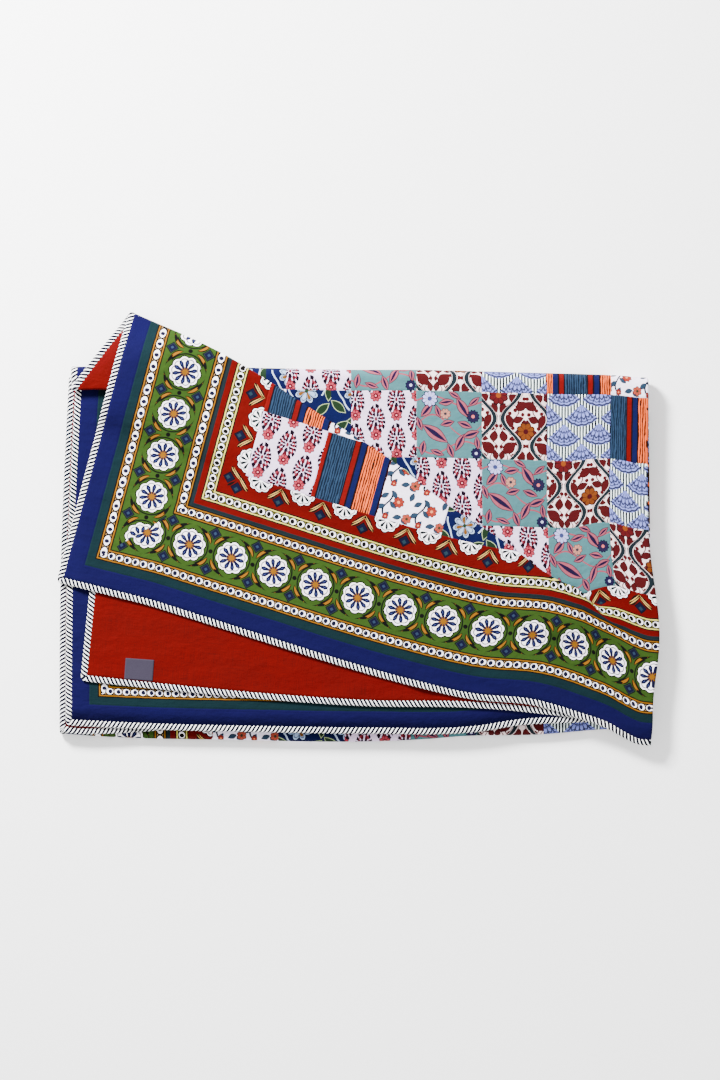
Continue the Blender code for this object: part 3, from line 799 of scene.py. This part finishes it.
class Cloth:
    """The nodes of one cloth material: its places across and along in millimetres, noises, and shader."""

    def __init__(self, name, roughness=0.9, sheen=0.0):
        self.material = bpy.data.materials.new(name)
        self.material.use_nodes = True
        self.tree = self.material.node_tree
        self.shader = self.tree.nodes["Principled BSDF"]
        self.shader.inputs["Roughness"].default_value = roughness
        self.shader.inputs["Sheen Weight"].default_value = sheen
        self.shader.inputs["Sheen Roughness"].default_value = SHEEN_ROUGHNESS
        self.shader.inputs["Specular IOR Level"].default_value = SPECULAR
        uv = self.tree.nodes.new("ShaderNodeUVMap")
        uv.uv_map = "cloth"
        parts = self.tree.nodes.new("ShaderNodeSeparateXYZ")
        self.tree.links.new(uv.outputs["UV"], parts.inputs[0])
        self.across = Formula(self.tree, parts.outputs["X"]) * (1 / MM)
        self.along = Formula(self.tree, parts.outputs["Y"]) * (1 / MM)

    def noise(self, across_scale, along_scale, detail=2.0, seed=0.0):
        """Smooth noise about zero, from -0.5 to 0.5, with that many waves a millimetre each way."""
        place = self.tree.nodes.new("ShaderNodeCombineXYZ")
        self.tree.links.new((self.across * across_scale).socket, place.inputs[0])
        self.tree.links.new((self.along * along_scale).socket, place.inputs[1])
        place.inputs[2].default_value = seed
        node = self.tree.nodes.new("ShaderNodeTexNoise")
        node.inputs["Scale"].default_value = 1.0
        node.inputs["Detail"].default_value = detail
        self.tree.links.new(place.outputs[0], node.inputs["Vector"])
        return Formula(self.tree, node.outputs["Fac"]) - 0.5

    def finish(self, colour, height, uneven=0.10, rough=0.12):
        """Ends the material: the colour with slight wear, roughness with the same, and a bump of that
        height in millimetres."""
        wear = self.noise(0.011, 0.013, 3.0, 4.0)
        tone = wear * (2 * uneven) + 1.0
        scale = self.tree.nodes.new("ShaderNodeVectorMath")
        scale.operation = "SCALE"
        self.tree.links.new(colour, scale.inputs[0])
        self.tree.links.new(tone.socket, scale.inputs["Scale"])
        self.tree.links.new(scale.outputs[0], self.shader.inputs["Base Color"])
        base = self.shader.inputs["Roughness"].default_value
        self.tree.links.new((wear * rough + base).socket, self.shader.inputs["Roughness"])
        bump = self.tree.nodes.new("ShaderNodeBump")
        bump.inputs["Strength"].default_value = BUMP_STRENGTH
        bump.inputs["Distance"].default_value = MM
        self.tree.links.new(height.socket, bump.inputs["Height"])
        self.tree.links.new(bump.outputs[0], self.shader.inputs["Normal"])
        return self.material

    def weave(self, pitch=0.7):
        """Height of a plain weave: the product of two waves, one each way."""
        turn = 2 * math.pi / pitch
        return (self.across * turn).wave() * (self.along * turn).wave()


def petals(angle, count):
    """Height of that many lobes round a flower: the size of a wave of half the number."""
    return (angle * (count / 2)).wave().size()


def blossom(tree, under, x, y, radius, count, fill, line, eye):
    """A round flower: an outline, petals cut by lines, and an eye."""
    far = reach(x, y)
    lobes = petals(bearing(x, y), count)
    edge = lobes * (radius * 0.22) + radius * 0.8
    cuts = (lobes < 0.16).both(far < radius * 0.8).both(far > radius * 0.25)
    return inks(
        tree, under, (line, far < edge + radius * 0.08), (fill, far < edge - radius * 0.06), (line, cuts),
        (eye, far < radius * 0.28),
    )


def leaf(tree, under, x, y, turn, long, wide, fill, line, rib=None):
    """A pointed leaf with an outline, and a rib if asked: half as wide as the cosine of its place along."""
    u, v = turned(x, y, turn)
    width = ((u * (math.pi / 2 / long)).cosine() * wide).both(u.size() < long)
    apart = v.size()
    out = inks(tree, under, (line, apart < width), (fill, apart < width - 1.3))
    return ink(tree, out, rib, apart < width * 0.42 - 0.9) if rib else out


# Where each band of the border starts, from the quilt's edge, the border's depth, the size of a patch, and
# the pitch of the border's flowers.
BAND_TEAL, BAND_BEADS_1, BAND_GREEN, BAND_BEADS_2 = 35.0, 53.0, 75.0, 172.0
BAND_GREY, BAND_RED_LINE, BAND_BEADS_3, BAND_SCALLOPS = 194.0, 202.0, 214.0, 235.0
BEADS_DEPTH = 21.0
BORDER = 282.0
PATCH = 127.0
FLOWER_PITCH = 82.0

# The beads' pitch in the strips that run along the quilt's length, and in those across it.
BEAD_PITCH_LONG, BEAD_PITCH_WIDE = 23.0, 15.5

# The inks, as display colours.
NAVY, ROYAL, TEAL, DARK = (18, 20, 74), (18, 9, 108), (16, 60, 70), (12, 12, 10)
WHITE, CREAM, OCHRE, GOLD = (250, 248, 250), (232, 216, 160), (196, 150, 14), (200, 156, 24)
GREEN, DEEP_GREEN, RED, GREY_BLUE = (88, 132, 38), (16, 32, 12), (158, 2, 2), (34, 58, 66)
BLUSH, CRIMSON, PLUM, ROSE = (206, 92, 120), (146, 24, 50), (42, 14, 46), (168, 50, 82)
SAND, LIME, STRAW, MAROON = (206, 184, 140), (196, 194, 96), (232, 228, 160), (30, 8, 18)


def beads(tree, under, depth, along, pitch, low, ground, line, dot):
    """A narrow strip: dark, coloured and dark lines at both edges, and a chain of white beads, each with a
    dark ring and a dark bud in it."""
    x = along.within(pitch) - pitch / 2.0
    y = depth - (low + BEADS_DEPTH / 2)
    high = y.size()
    bead = reach(x / (pitch / BEAD_PITCH_WIDE), y * 1.12)
    bud = reach(x + 1.0, y * 0.85)
    return inks(
        tree, under, (DARK, high < 12.5), (line, high < 10.2), (DARK, high < 7.8), (ground, high < 5.6),
        (DARK, bead < 8.6), (WHITE, bead < 6.5), (dot, bud < 3.9),
    )


def green_band(tree, depth, along):
    """Round flowers in a row on green: ten white lobes, a blue star and an ochre eye, ringed by a darker
    line. Between them a gold leaf follows each ring, and a dark bud stands between the leaves towards each
    side."""
    x = along.within(FLOWER_PITCH) - FLOWER_PITCH / 2
    y = depth - (BAND_GREEN + BAND_BEADS_2) / 2
    far = reach(x, y)
    lobes = petals(bearing(x, y), 10)
    side = FLOWER_PITCH / 2 - x.size()
    high = y.size()
    taper = ((high - 26.0) / 8.6).cosine().most(0.0).both(near(high, 26.0, 13.5))
    out = inks(
        tree, GREEN, (DEEP_GREEN, near(far, 34.6, 1.3).both(high < 30.0)),
        (DARK, near(far, 39.6, taper * 4.6)), (GOLD, near(far, 39.6, taper * 2.9 - 0.5)),
    )
    out = leaf(tree, out, side - 20.5, high - 33.5, 30.0, 8.0, 2.4, DARK, DARK)
    bud = side + (high - 35.0).size()
    edge = lobes * 3.4 + 26.4
    wedges = (far * 0.0045 + lobes > 0.985).both(far < 19.5).both(far > 7.0)
    return inks(
        tree, out,
        (DARK, bud < 12.6), ((60, 84, 96), bud < 10.4), (NAVY, bud < 9.0), ((70, 100, 136), bud < 3.6),
        (DARK, reach(side, y) < 4.0), (DARK, far < edge + 2.2), (WHITE, far < edge),
        ((70, 74, 110), (far - lobes * 2.6 - 22.8).size() < 0.9),
        ((18, 22, 96), far < 24.0 - lobes * lobes * 6.5), (WHITE, wedges),
        ((110, 128, 186), (lobes < 0.16).both(near(far, 17.5, 2.2))),
        (OCHRE, (lobes > 0.82).both(far < 9.5)), (OCHRE, far < lobes * 1.4 + 4.6),
    )


def scallop_band(tree, depth, along):
    """Red, with white half flowers that stand on the patchwork, and between them a dark bud under two dark
    and cream leaves that lean together at its top."""
    x = along.within(FLOWER_PITCH) - FLOWER_PITCH / 2
    y = BORDER - depth
    far = reach(x, y)
    angle = bearing(y, x)
    lobes = (angle * 4.5 + 1.57).wave().size()
    edge = lobes * 3.2 + 20.0
    rays = (angle * 9.0).wave()
    side = FLOWER_PITCH / 2 - x.size()
    leg = (y - 6.0 - side * (side * -0.012 + 1.25)).size()
    taper = ((side - 10.5) / 8.0).cosine().most(0.0).both(near(side, 10.5, 12.0))
    bud = side + (y - 29.0).size()
    return inks(
        tree, RED,
        (DARK, leg < taper * 8.0), (CREAM, near(leg, 2.2, taper * 1.5 - 0.3)),
        (DARK, bud < 12.2), (NAVY, bud < 10.0), ((54, 92, 112), side + (y - 31.0).size() < 4.6),
        (DARK, far < edge + 2.0), (WHITE, far < edge),
        ((16, 40, 44), (far < rays * 3.0 + 14.5).both(rays > -0.1).both(far > 4.0)),
        ((84, 92, 104), (far - lobes * 2.6 - 17.2).size() < 0.8),
    )


# The cone's rings of dashes: distance as a share of its outline, dashes, where they start, colour.
CONE_RINGS = ((0.88, 14.0, 0.0, (24, 2, 30)), (0.61, 11.0, 0.6, CRIMSON), (0.35, 7.0, 0.0, PLUM))


def buti_print(tree, x, y):
    """Cones of small dark leaves and red blossom on white, each over a pink flower, in a half drop
    repeat."""
    lane_wide, drop = 40.0, 37.0
    lane = (x / lane_wide).whole()
    mx = x.within(lane_wide) - lane_wide / 2
    my = (y + lane.within(2.0) * drop).within(2 * drop) - drop
    cone = reach(mx / (18.4 - my * 0.14), (my - 6.0) / 28.5)
    angle = bearing(mx, my - 6.0)
    dashes = [
        (colour, near(cone, ring, 0.145).both((angle * count + start).wave() > -0.62))
        for ring, count, start, colour in CONE_RINGS
    ]
    base = reach(mx, my + 24.0)
    lobes = petals(bearing(mx, my + 24.0), 8)
    edge = lobes * 2.6 + 9.2
    return inks(
        tree, (240, 234, 242), *dashes,
        (BLUSH, near(cone, 0.74, 0.06).both((angle * 7.0).wave() > 0.0)), (ROSE, cone < 0.15),
        (CRIMSON, base < edge), ((216, 110, 134), base < edge - 1.8),
        (CRIMSON, (lobes < 0.3).both(base < edge)), (CRIMSON, base < 4.6), ((240, 200, 205), base < 1.7),
    )


def stripe_print(cloth, x, off):
    """Upright stripes: ikat blue between two reds, then ikat orange between two royal blues, with dark
    lines between. Blue and orange carry fine wavering threads lengthways."""
    tree = cloth.tree
    repeat, middle, thread_pitch = 128.0, 46.0, 4.6
    place = (x + off).within(repeat)
    waver = cloth.noise(0.16, 0.03, 3.0, 8.0) * 7.0
    broken = cloth.noise(0.3, 0.06, 2.0, 9.0) * 1.6
    threads = ((place + waver) * (2 * math.pi / thread_pitch)).wave() + broken
    blue = ink(tree, (72, 112, 150), (22, 46, 80), threads > -0.1)
    orange = ink(tree, (240, 168, 84), (88, 28, 6), threads > 0.08)
    out = (place - middle).size()
    return inks(
        tree, (24, 32, 124),
        ((176, 12, 10), out < 34.0), (MAROON, out < 24.0), (blue, out < 21.8),
        (MAROON, near(out, 34.0, 1.5)), (MAROON, near(place, 92.0, 1.4)), (orange, place > 93.0),
    )


# The spray's leaves: x, y and turn. Its flowers: x, y, radius, petals, fill, line and eye.
SPRAY_LEAVES = (
    (-10, -10, 35), (11, -2, 145), (-8, 12, 40), (9, 18, 130), (-22, 22, 80), (24, -22, 20), (2, -24, 60),
    (-26, -26, 150),
)
SPRAY_FLOWERS = (
    (20.0, 6.0, 10.0, 8, (206, 96, 72), (110, 30, 28), (238, 200, 160)),
    (-22.0, -20.0, 9.0, 6, (214, 130, 100), (130, 46, 40), (84, 92, 60)),
    (2.0, -26.0, 6.0, 6, (196, 80, 66), (110, 30, 30), (240, 200, 150)),
)


def spray_print(tree, x, y):
    """Blue leaf sprays and small coral flowers on white."""
    repeat = 64.0
    mx, my = x.within(repeat) - repeat / 2, y.within(repeat) - repeat / 2
    stem = (mx - (my * 0.11).wave() * 6.0).size()
    out = ink(tree, (246, 244, 248), (26, 52, 80), (stem < 1.8).both(my.size() < 24.0))
    for px, py, turn in SPRAY_LEAVES:
        out = leaf(tree, out, mx - px, my - py, turn, 9.5, 5.0, (70, 108, 140), (18, 36, 66))
    for px, py, *flower in SPRAY_FLOWERS:
        out = blossom(tree, out, mx - px, my - py, *flower)
    return out


# The blue print's leaves: x, y and turn.
BLUE_LEAVES = ((-30, 30, 35), (32, 30, 150), (-34, -28, 140), (30, -34, 40), (0, 42, 5), (44, 0, 85))


def blue_print(tree, x, y):
    """Large white and ochre flowers with curled green leaves on royal blue."""
    repeat = 96.0
    out = (12, 24, 112)
    mx, my = (x + 8.0).within(repeat) - repeat / 2, (y + 20.0).within(repeat) - repeat / 2
    for px, py, turn in BLUE_LEAVES:
        out = leaf(tree, out, mx - px, my - py, turn, 19.0, 8.4, (44, 84, 46), (214, 222, 196))
    far, angle = reach(mx, my), bearing(mx, my)
    curl = ((far - 34.0 - (angle * 3.0).wave() * 5.0).size() < 1.5).both((angle * 2.0 + 0.6).wave() > 0.1)
    lobes = petals(angle, 8)
    edge = lobes * 8.0 + 15.0
    return inks(
        tree, out,
        ((222, 228, 236), curl), ((8, 14, 44), far < edge + 1.8), ((212, 222, 234), far < edge),
        ((90, 110, 150), (far - edge + 4.0).size() < 0.9),
        ((182, 134, 46), ((angle * 4.0).wave() > 0.45).both(far < edge - 6.0)),
        ((20, 34, 60), (lobes < 0.22).both(far < 21.0)), ((50, 100, 56), far < 3.6),
    )


# The aqua print's stems: middle and height of the wave. Its leaves: x, y, turn, half length and half width.
# Its flowers: x, y, radius, petals, fill, line and eye.
AQUA_STEMS = ((62.0, 20.0), (20.0, -12.0), (108.0, 9.0))
AQUA_LEAVES = (
    (36, 46, -34, 31, 12), (84, 30, 62, 20, 8), (106, 46, 20, 18, 8), (66, 14, 110, 16, 7),
    (90, 96, -58, 23, 10), (20, 90, 48, 18, 8), (58, 106, 10, 16, 7), (12, 18, 80, 15, 7),
    (60, 66, 15, 15, 7), (94, 64, -20, 16, 7), (40, 10, 160, 15, 6), (118, 30, 95, 14, 6),
    (74, 120, 150, 15, 6), (6, 64, 110, 15, 6), (112, 108, 40, 15, 6), (42, 88, -70, 14, 6),
)
AQUA_FLOWERS = (
    (26.0, 112.0, 15.0, 10, (220, 220, 238), (24, 20, 76), (110, 120, 176)),
    (110.0, 80.0, 12.0, 12, (60, 46, 110), (18, 10, 50), (230, 170, 170)),
    (56.0, 84.0, 10.0, 8, (222, 190, 176), (166, 80, 80), (84, 84, 104)),
    (116.0, 10.0, 10.0, 10, (50, 36, 108), (18, 10, 50), (226, 226, 236)),
)


def aqua_print(tree, x, y):
    """Pink feathered leaves with a violet rib, violet flowers and pink stems on aqua."""
    out, pink, line, violet = (130, 182, 186), (208, 140, 158), (112, 38, 74), (46, 26, 92)
    for bend, tall in AQUA_STEMS:
        stem = (y - bend - (x * 0.05).wave() * tall).size()
        out = ink(tree, out, (206, 126, 148), stem < 1.5)
    for px, py, turn, long, wide in AQUA_LEAVES:
        out = leaf(tree, out, x - px, y - py, turn, long, wide, pink, line, violet)
    for px, py, *flower in AQUA_FLOWERS:
        out = blossom(tree, out, x - px, y - py, *flower)
    return out


# The damask's leaves on one side of its mirror line: x, y, turn, half length and half width. Its berries: x
# and y.
DAMASK_LEAVES = (
    (20, 22, 40, 17, 11), (18, 74, 130, 17, 11), (40, 48, 75, 15, 10), (44, 102, 30, 15, 9),
    (9, 44, 100, 12, 8), (30, 116, 150, 13, 9), (43, 8, 120, 14, 9), (8, 98, 60, 11, 7),
    (38, 76, 20, 12, 7), (6, 8, 80, 10, 6), (50, 68, 90, 9, 6), (28, 40, 10, 9, 5), (14, 60, 20, 8, 5),
)
DAMASK_BERRIES = (
    (5, 24), (28, 60), (50, 26), (32, 94), (24, 50), (47, 86), (28, 8), (5, 82), (34, 30), (18, 100),
    (50, 116), (12, 114), (22, 88), (4, 64),
)


def damask_print(tree, x, y):
    """Mirrored red-brown leaves and berries inside a grey-green ogee on white, with ochre flowers."""
    white, dark_red, red_line = (244, 238, 238), (134, 22, 28), (62, 12, 18)
    repeat = 106.0
    side = ((x + 20.0).within(repeat) - repeat / 2).size()
    ogee = side - 25.0 - (y * (2 * math.pi / 104.0)).wave() * 17.0
    out = inks(
        tree, white, (dark_red, (side - 30.0 + (y * 0.12).wave() * 9.0).size() < 1.3),
        (dark_red, (side - 10.0 - (y * 0.16 + 1.0).wave() * 7.0).size() < 1.1),
    )
    for px, py, turn, long, wide in DAMASK_LEAVES:
        out = leaf(tree, out, side - px, y - py, turn, long, wide, dark_red, red_line)
    berries = [(dark_red, reach(side - px, y - py) < 3.8) for px, py in DAMASK_BERRIES]
    out = inks(
        tree, out, *berries, ((110, 26, 30), ogee.size() < 6.4), (white, ogee.size() < 5.2),
        ((38, 62, 74), (ogee + 0.4).size() < 4.2),
    )
    out = blossom(tree, out, side - 53.0, y - 54.0, 17.0, 8, (180, 106, 30), (96, 28, 20), (120, 16, 30))
    return blossom(tree, out, side, y - 122.0, 18.0, 8, (152, 30, 38), (70, 12, 20), (196, 120, 34))


def fan_print(tree, x, y):
    """Lavender lace shells, each a slice of a disc that hangs from its point, on fine upright navy
    lines."""
    out = ink(tree, (246, 249, 255), (16, 28, 52), (x + 1.0).within(6.0) < 3.5)
    ground, lilac, pale_lilac = (194, 200, 234), (90, 96, 140), (118, 124, 168)
    wide, high = 69.0, 76.0
    for shift, low in ((0.0, 0.0), (wide / 2, high / 2)):
        fx = (x + shift).within(wide) - wide / 2
        fy = (y * -1.0 + low).within(high) - 6.0
        far, angle = reach(fx, fy), bearing(fy, fx)
        fan = (far < 43.0).both(angle.size() < 0.86)
        rays = (angle * 9.0).wave().size()
        out = inks(
            tree, out, (ground, fan), (lilac, fan.both((far - 39.0 - rays * 2.0).size() < 1.9)),
            (lilac, fan.both(rays < 0.42).both(far < 36.0)),
            (lilac, fan.both((far - 22.0 - rays * 7.0).size() < 2.0)),
            (pale_lilac, fan.both((far - 12.0 - rays * 5.0).size() < 1.7)),
            (pale_lilac, fan.both((far - 31.0 - rays * 4.0).size() < 1.2)),
        )
    return out


def printed_material():
    """The whole printed front. The distance to the nearest edge picks the border's band, and whole numbers
    of patches across and along, added up, pick one of seven prints."""
    cloth = Cloth("printed_cotton")
    tree = cloth.tree
    drift_across, drift_along = (cloth.noise(0.06, 0.06, 2.0, seed) * 1.6 for seed in (1.0, 5.0))
    across, along = cloth.across + drift_across, cloth.along + drift_along
    from_side = across.least(QUILT_WIDTH - across)
    from_end = along.least(QUILT_LENGTH - along)
    depth = from_side.least(from_end)
    at_side = from_side < from_end
    run = (across - 10.0).blend(along + 13.0, at_side)
    scallop_run = (across - 25.0).blend(along - 23.0, at_side)
    pitch = at_side * (BEAD_PITCH_LONG - BEAD_PITCH_WIDE) + BEAD_PITCH_WIDE
    px, py = across - BORDER, along - BORDER
    column_number, row_number = (px / PATCH).whole(), (py / PATCH).whole()
    x, y = px.within(PATCH), py.within(PATCH)
    total = column_number + row_number
    kind = (total - 1.0).within(7.0)
    off = ((row_number - 2.0) * 83.0 + 33.0).blend(15.0, column_number < 2.0)
    cones = buti_print(tree, x + total * 13.0, y + total * 11.0)
    prints = (
        stripe_print(cloth, x, off), spray_print(tree, x + total * 9.0, y), blue_print(tree, x, y), cones,
        aqua_print(tree, x, y), damask_print(tree, x, y), fan_print(tree, x, y),
    )
    others = [(design, near(kind, float(number), 0.5)) for number, design in enumerate(prints[1:], 1)]
    patchwork = inks(tree, prints[0], *others, (cones, total < 0.5))
    out = inks(
        tree, ROYAL, (TEAL, depth > BAND_TEAL), (green_band(tree, depth, run), depth > BAND_GREEN),
        (GREY_BLUE, depth > BAND_GREY), (RED, depth > BAND_RED_LINE),
        (scallop_band(tree, depth, scallop_run), depth > BAND_SCALLOPS),
    )
    for low in (BAND_BEADS_1, BAND_BEADS_2):
        out = beads(tree, out, depth, run, pitch, low, SAND, OCHRE, NAVY)
    out = beads(tree, out, depth, run, BEAD_PITCH_WIDE, BAND_BEADS_3, LIME, STRAW, DARK)
    out = ink(tree, out, patchwork, depth > BORDER)
    seam = x.least(PATCH - x).least(y.least(PATCH - y)).most(BORDER - depth)
    for line in (BORDER, BAND_TEAL, BAND_BEADS_2 + 25.0):
        seam = seam.least((depth - line).size())
    groove = (seam / 2.4).least(1.0)
    stitch = near(seam, 3.4, 0.45).both((across + along).within(5.6) < 3.4)
    puckers = cloth.noise(0.02, 0.035, 3.0, 2.0) * 4.6 + cloth.noise(0.09, 0.08, 2.0, 3.0) * 1.0
    return cloth.finish(out, groove * 0.55 + stitch * 0.25 + puckers + cloth.weave() * 0.05)


def lining_material():
    """Plain red cotton: a weave and slight creases."""
    cloth = Cloth("red_cotton")
    slubs = cloth.noise(0.02, 1.6, 2.0, 6.0) + cloth.noise(1.6, 0.02, 2.0, 7.0)
    out = ink(cloth.tree, (160, 2, 2), (142, 2, 2), slubs > 0.10)
    creases = cloth.noise(0.016, 0.024, 3.0, 2.0) * 5.0 + cloth.noise(0.08, 0.1, 2.0, 3.0) * 0.9
    return cloth.finish(out, creases + cloth.weave() * 0.05, uneven=0.12)


def piping_material():
    """White with slanting navy lines: the distance along the ring plus the distance round its section, in
    steps of the line's pitch."""
    cloth = Cloth("striped_cotton")
    slant = cloth.across + cloth.along + cloth.noise(0.3, 0.3, 1.0, 2.0) * 0.5
    out = ink(cloth.tree, (252, 253, 255), (12, 16, 48), slant.within(STRIPE_PITCH) < STRIPE_WIDE)
    height = (slant * (2 * math.pi / STRIPE_PITCH)).wave() * 0.1 + cloth.weave(0.8) * 0.06
    return cloth.finish(out, height, uneven=0.06)


def label_material():
    """Pale grey-lilac satin tape, left bare, with a fine rib."""
    cloth = Cloth("label_tape", roughness=0.6, sheen=0.08)
    rib = (cloth.along * (2 * math.pi / 0.9)).wave()
    out = ink(cloth.tree, (106, 96, 122), (88, 78, 106), rib > 0.3)
    return cloth.finish(out, rib * 0.05 + cloth.noise(0.05, 0.05, 2.0, 2.0) * 0.8, uneven=0.06)


def settle(grid):
    """Soft waves on the top layer, each a rise by place only, so that its three runs over the tuck stay
    apart: long low waves, and ridges along short lines that fade as a bell does with the distance from
    them."""
    x, y = grid[..., 0], grid[..., 1]
    swell = 1 + np.sin(x * 0.021 + y * 0.013)
    rise = WAVE_HEIGHT * swell * (0.5 + 0.5 * np.sin(y * 0.031 - x * 0.007 + 1.3))
    for x0, y0, x1, y1, high, wide in RIDGES:
        way = np.array([x1 - x0, y1 - y0])
        long = np.hypot(*way)
        way = way / long
        u = (x - x0) * way[0] + (y - y0) * way[1]
        v = (y - y0) * way[0] - (x - x0) * way[1]
        ends = smooth_step(-0.35 * long, 0.2 * long, u) * (1 - smooth_step(0.8 * long, 1.35 * long, u))
        rise = rise + high * ends * np.exp(-((v / wide) ** 2))
    hold = np.zeros(grid.shape[:2])
    fade = 1 - smooth_step(WAVE_FADE_FROM, 1.0, np.linspace(0, 1, OUTER_COLUMNS))
    to_end = np.minimum(1.0, np.arange(LAYER_ROWS)[::-1] / WAVE_FADE_ROWS)
    hold[:LAYER_ROWS, :OUTER_COLUMNS] = fade * to_end[:, None]
    grid[..., 2] += rise * hold
    return grid


def label_piece(name):
    """The label: a small grid that lies on the lining, with corners that lift a little and a thickness."""
    across, up = LABEL_CELLS
    u, v = np.meshgrid(np.linspace(-1, 1, across), np.linspace(-1, 1, up))
    x, y = u * LABEL_WIDE / 2, v * LABEL_HIGH / 2
    bottom = INNER_LEVELS[0] + QUILT_THICK / 2 + SEAM_GAP + LABEL_THICK / 2
    z = bottom + LABEL_CORNERS * (u * v) ** 2 + LABEL_WAVE * (1 - v) * (0.5 + 0.5 * np.sin(u * 3.0)) * 0.5
    c, s = math.cos(LABEL_TURN), math.sin(LABEL_TURN)
    grid = np.stack([
        LABEL_PLACE[0] - CENTRE[0] + x * c - y * s, LABEL_PLACE[1] - CENTRE[1] + x * s + y * c, z,
    ], -1)
    normals = grid_normals(grid)
    normals *= np.sign(normals[..., 2:])
    places = np.stack([x, y], -1)
    return sheet(name, grid, normals, places, -LABEL_THICK / 2, LABEL_THICK / 2)


def lamp(name, place, target, size, power):
    """A square soft light aimed at a point."""
    data = bpy.data.lights.new(name, "AREA")
    data.size, data.energy = size, power
    lamp_object = bpy.data.objects.new(name, data)
    lamp_object.location = place
    lamp_object.rotation_euler = (Vector(target) - Vector(place)).to_track_quat("-Z", "Y").to_euler()
    bpy.context.scene.collection.objects.link(lamp_object)


# The four pieces, each in place of its own solid.
middle, cloth_places = quilt_middle()
middle = settle(middle)
out_of_print = grid_normals(middle)
half_thick = half_thickness(middle)
seam = SEAM_GAP / 2
front = sheet("patchwork_front", middle, out_of_print, cloth_places, seam, half_thick)
back = sheet("plain_lining", middle, out_of_print, cloth_places, -half_thick, -seam)
trim = piping("edge_piping", *rim_path(middle, out_of_print))
tag = label_piece("sewn_label")
for piece, node, material in (
    (front, "printed_top", printed_material()), (back, "red_lining", lining_material()),
    (trim, "striped_piping", piping_material()), (tag, "blank_label", label_material()),
):
    piece.data.materials.append(material)
    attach(piece, "root")
    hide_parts(node)

# The paper floor that the quilt lies on.
floor_mesh = bpy.data.meshes.new("floor")
corners = [(x * FLOOR_HALF, y * FLOOR_HALF, 0) for x, y in ((-1, -1), (1, -1), (1, 1), (-1, 1))]
floor_mesh.from_pydata(corners, [], [(0, 1, 2, 3)])
floor = bpy.data.objects.new("floor", floor_mesh)
floor.location = (0, 0, -FLOOR_DROP)
bpy.context.scene.collection.objects.link(floor)
paper = bpy.data.materials.new("paper")
paper.use_nodes = True
for name, value in (
    ("Base Color", (PAPER_TONE, PAPER_TONE, PAPER_TONE, 1.0)), ("Roughness", PAPER_ROUGHNESS),
    ("Emission Color", (1.0, 1.0, 1.0, 1.0)), ("Emission Strength", PAPER_GLOW),
):
    paper.node_tree.nodes["Principled BSDF"].inputs[name].default_value = value
floor_mesh.materials.append(paper)

# Light and camera.
world = bpy.data.worlds.new("studio")
world.use_nodes = True
world.node_tree.nodes["Background"].inputs["Color"].default_value = (1.0, 1.0, 1.0, 1.0)
world.node_tree.nodes["Background"].inputs["Strength"].default_value = WORLD_LIGHT
bpy.context.scene.world = world
for name, place, size, power in LAMPS:
    lamp(name, place, (0, 0, 0), size, power)

camera_data = bpy.data.cameras.new("camera")
camera = bpy.data.objects.new("camera", camera_data)
bpy.context.scene.collection.objects.link(camera)
bpy.context.scene.camera = camera
camera_data.sensor_fit = "HORIZONTAL"
camera_data.sensor_width = SENSOR_WIDE
camera_data.lens = SENSOR_WIDE * CAMERA_AWAY / FRAME_WIDE
camera_data.clip_end = CAMERA_SIGHT
aim = Vector(((AIM[0] - CENTRE[0]) * MM, (AIM[1] - CENTRE[1]) * MM, AIM[2] * MM))
camera.location = aim + Vector((0, -math.sin(CAMERA_TILT), math.cos(CAMERA_TILT))) * CAMERA_AWAY
camera.rotation_euler = (CAMERA_TILT, 0, 0)
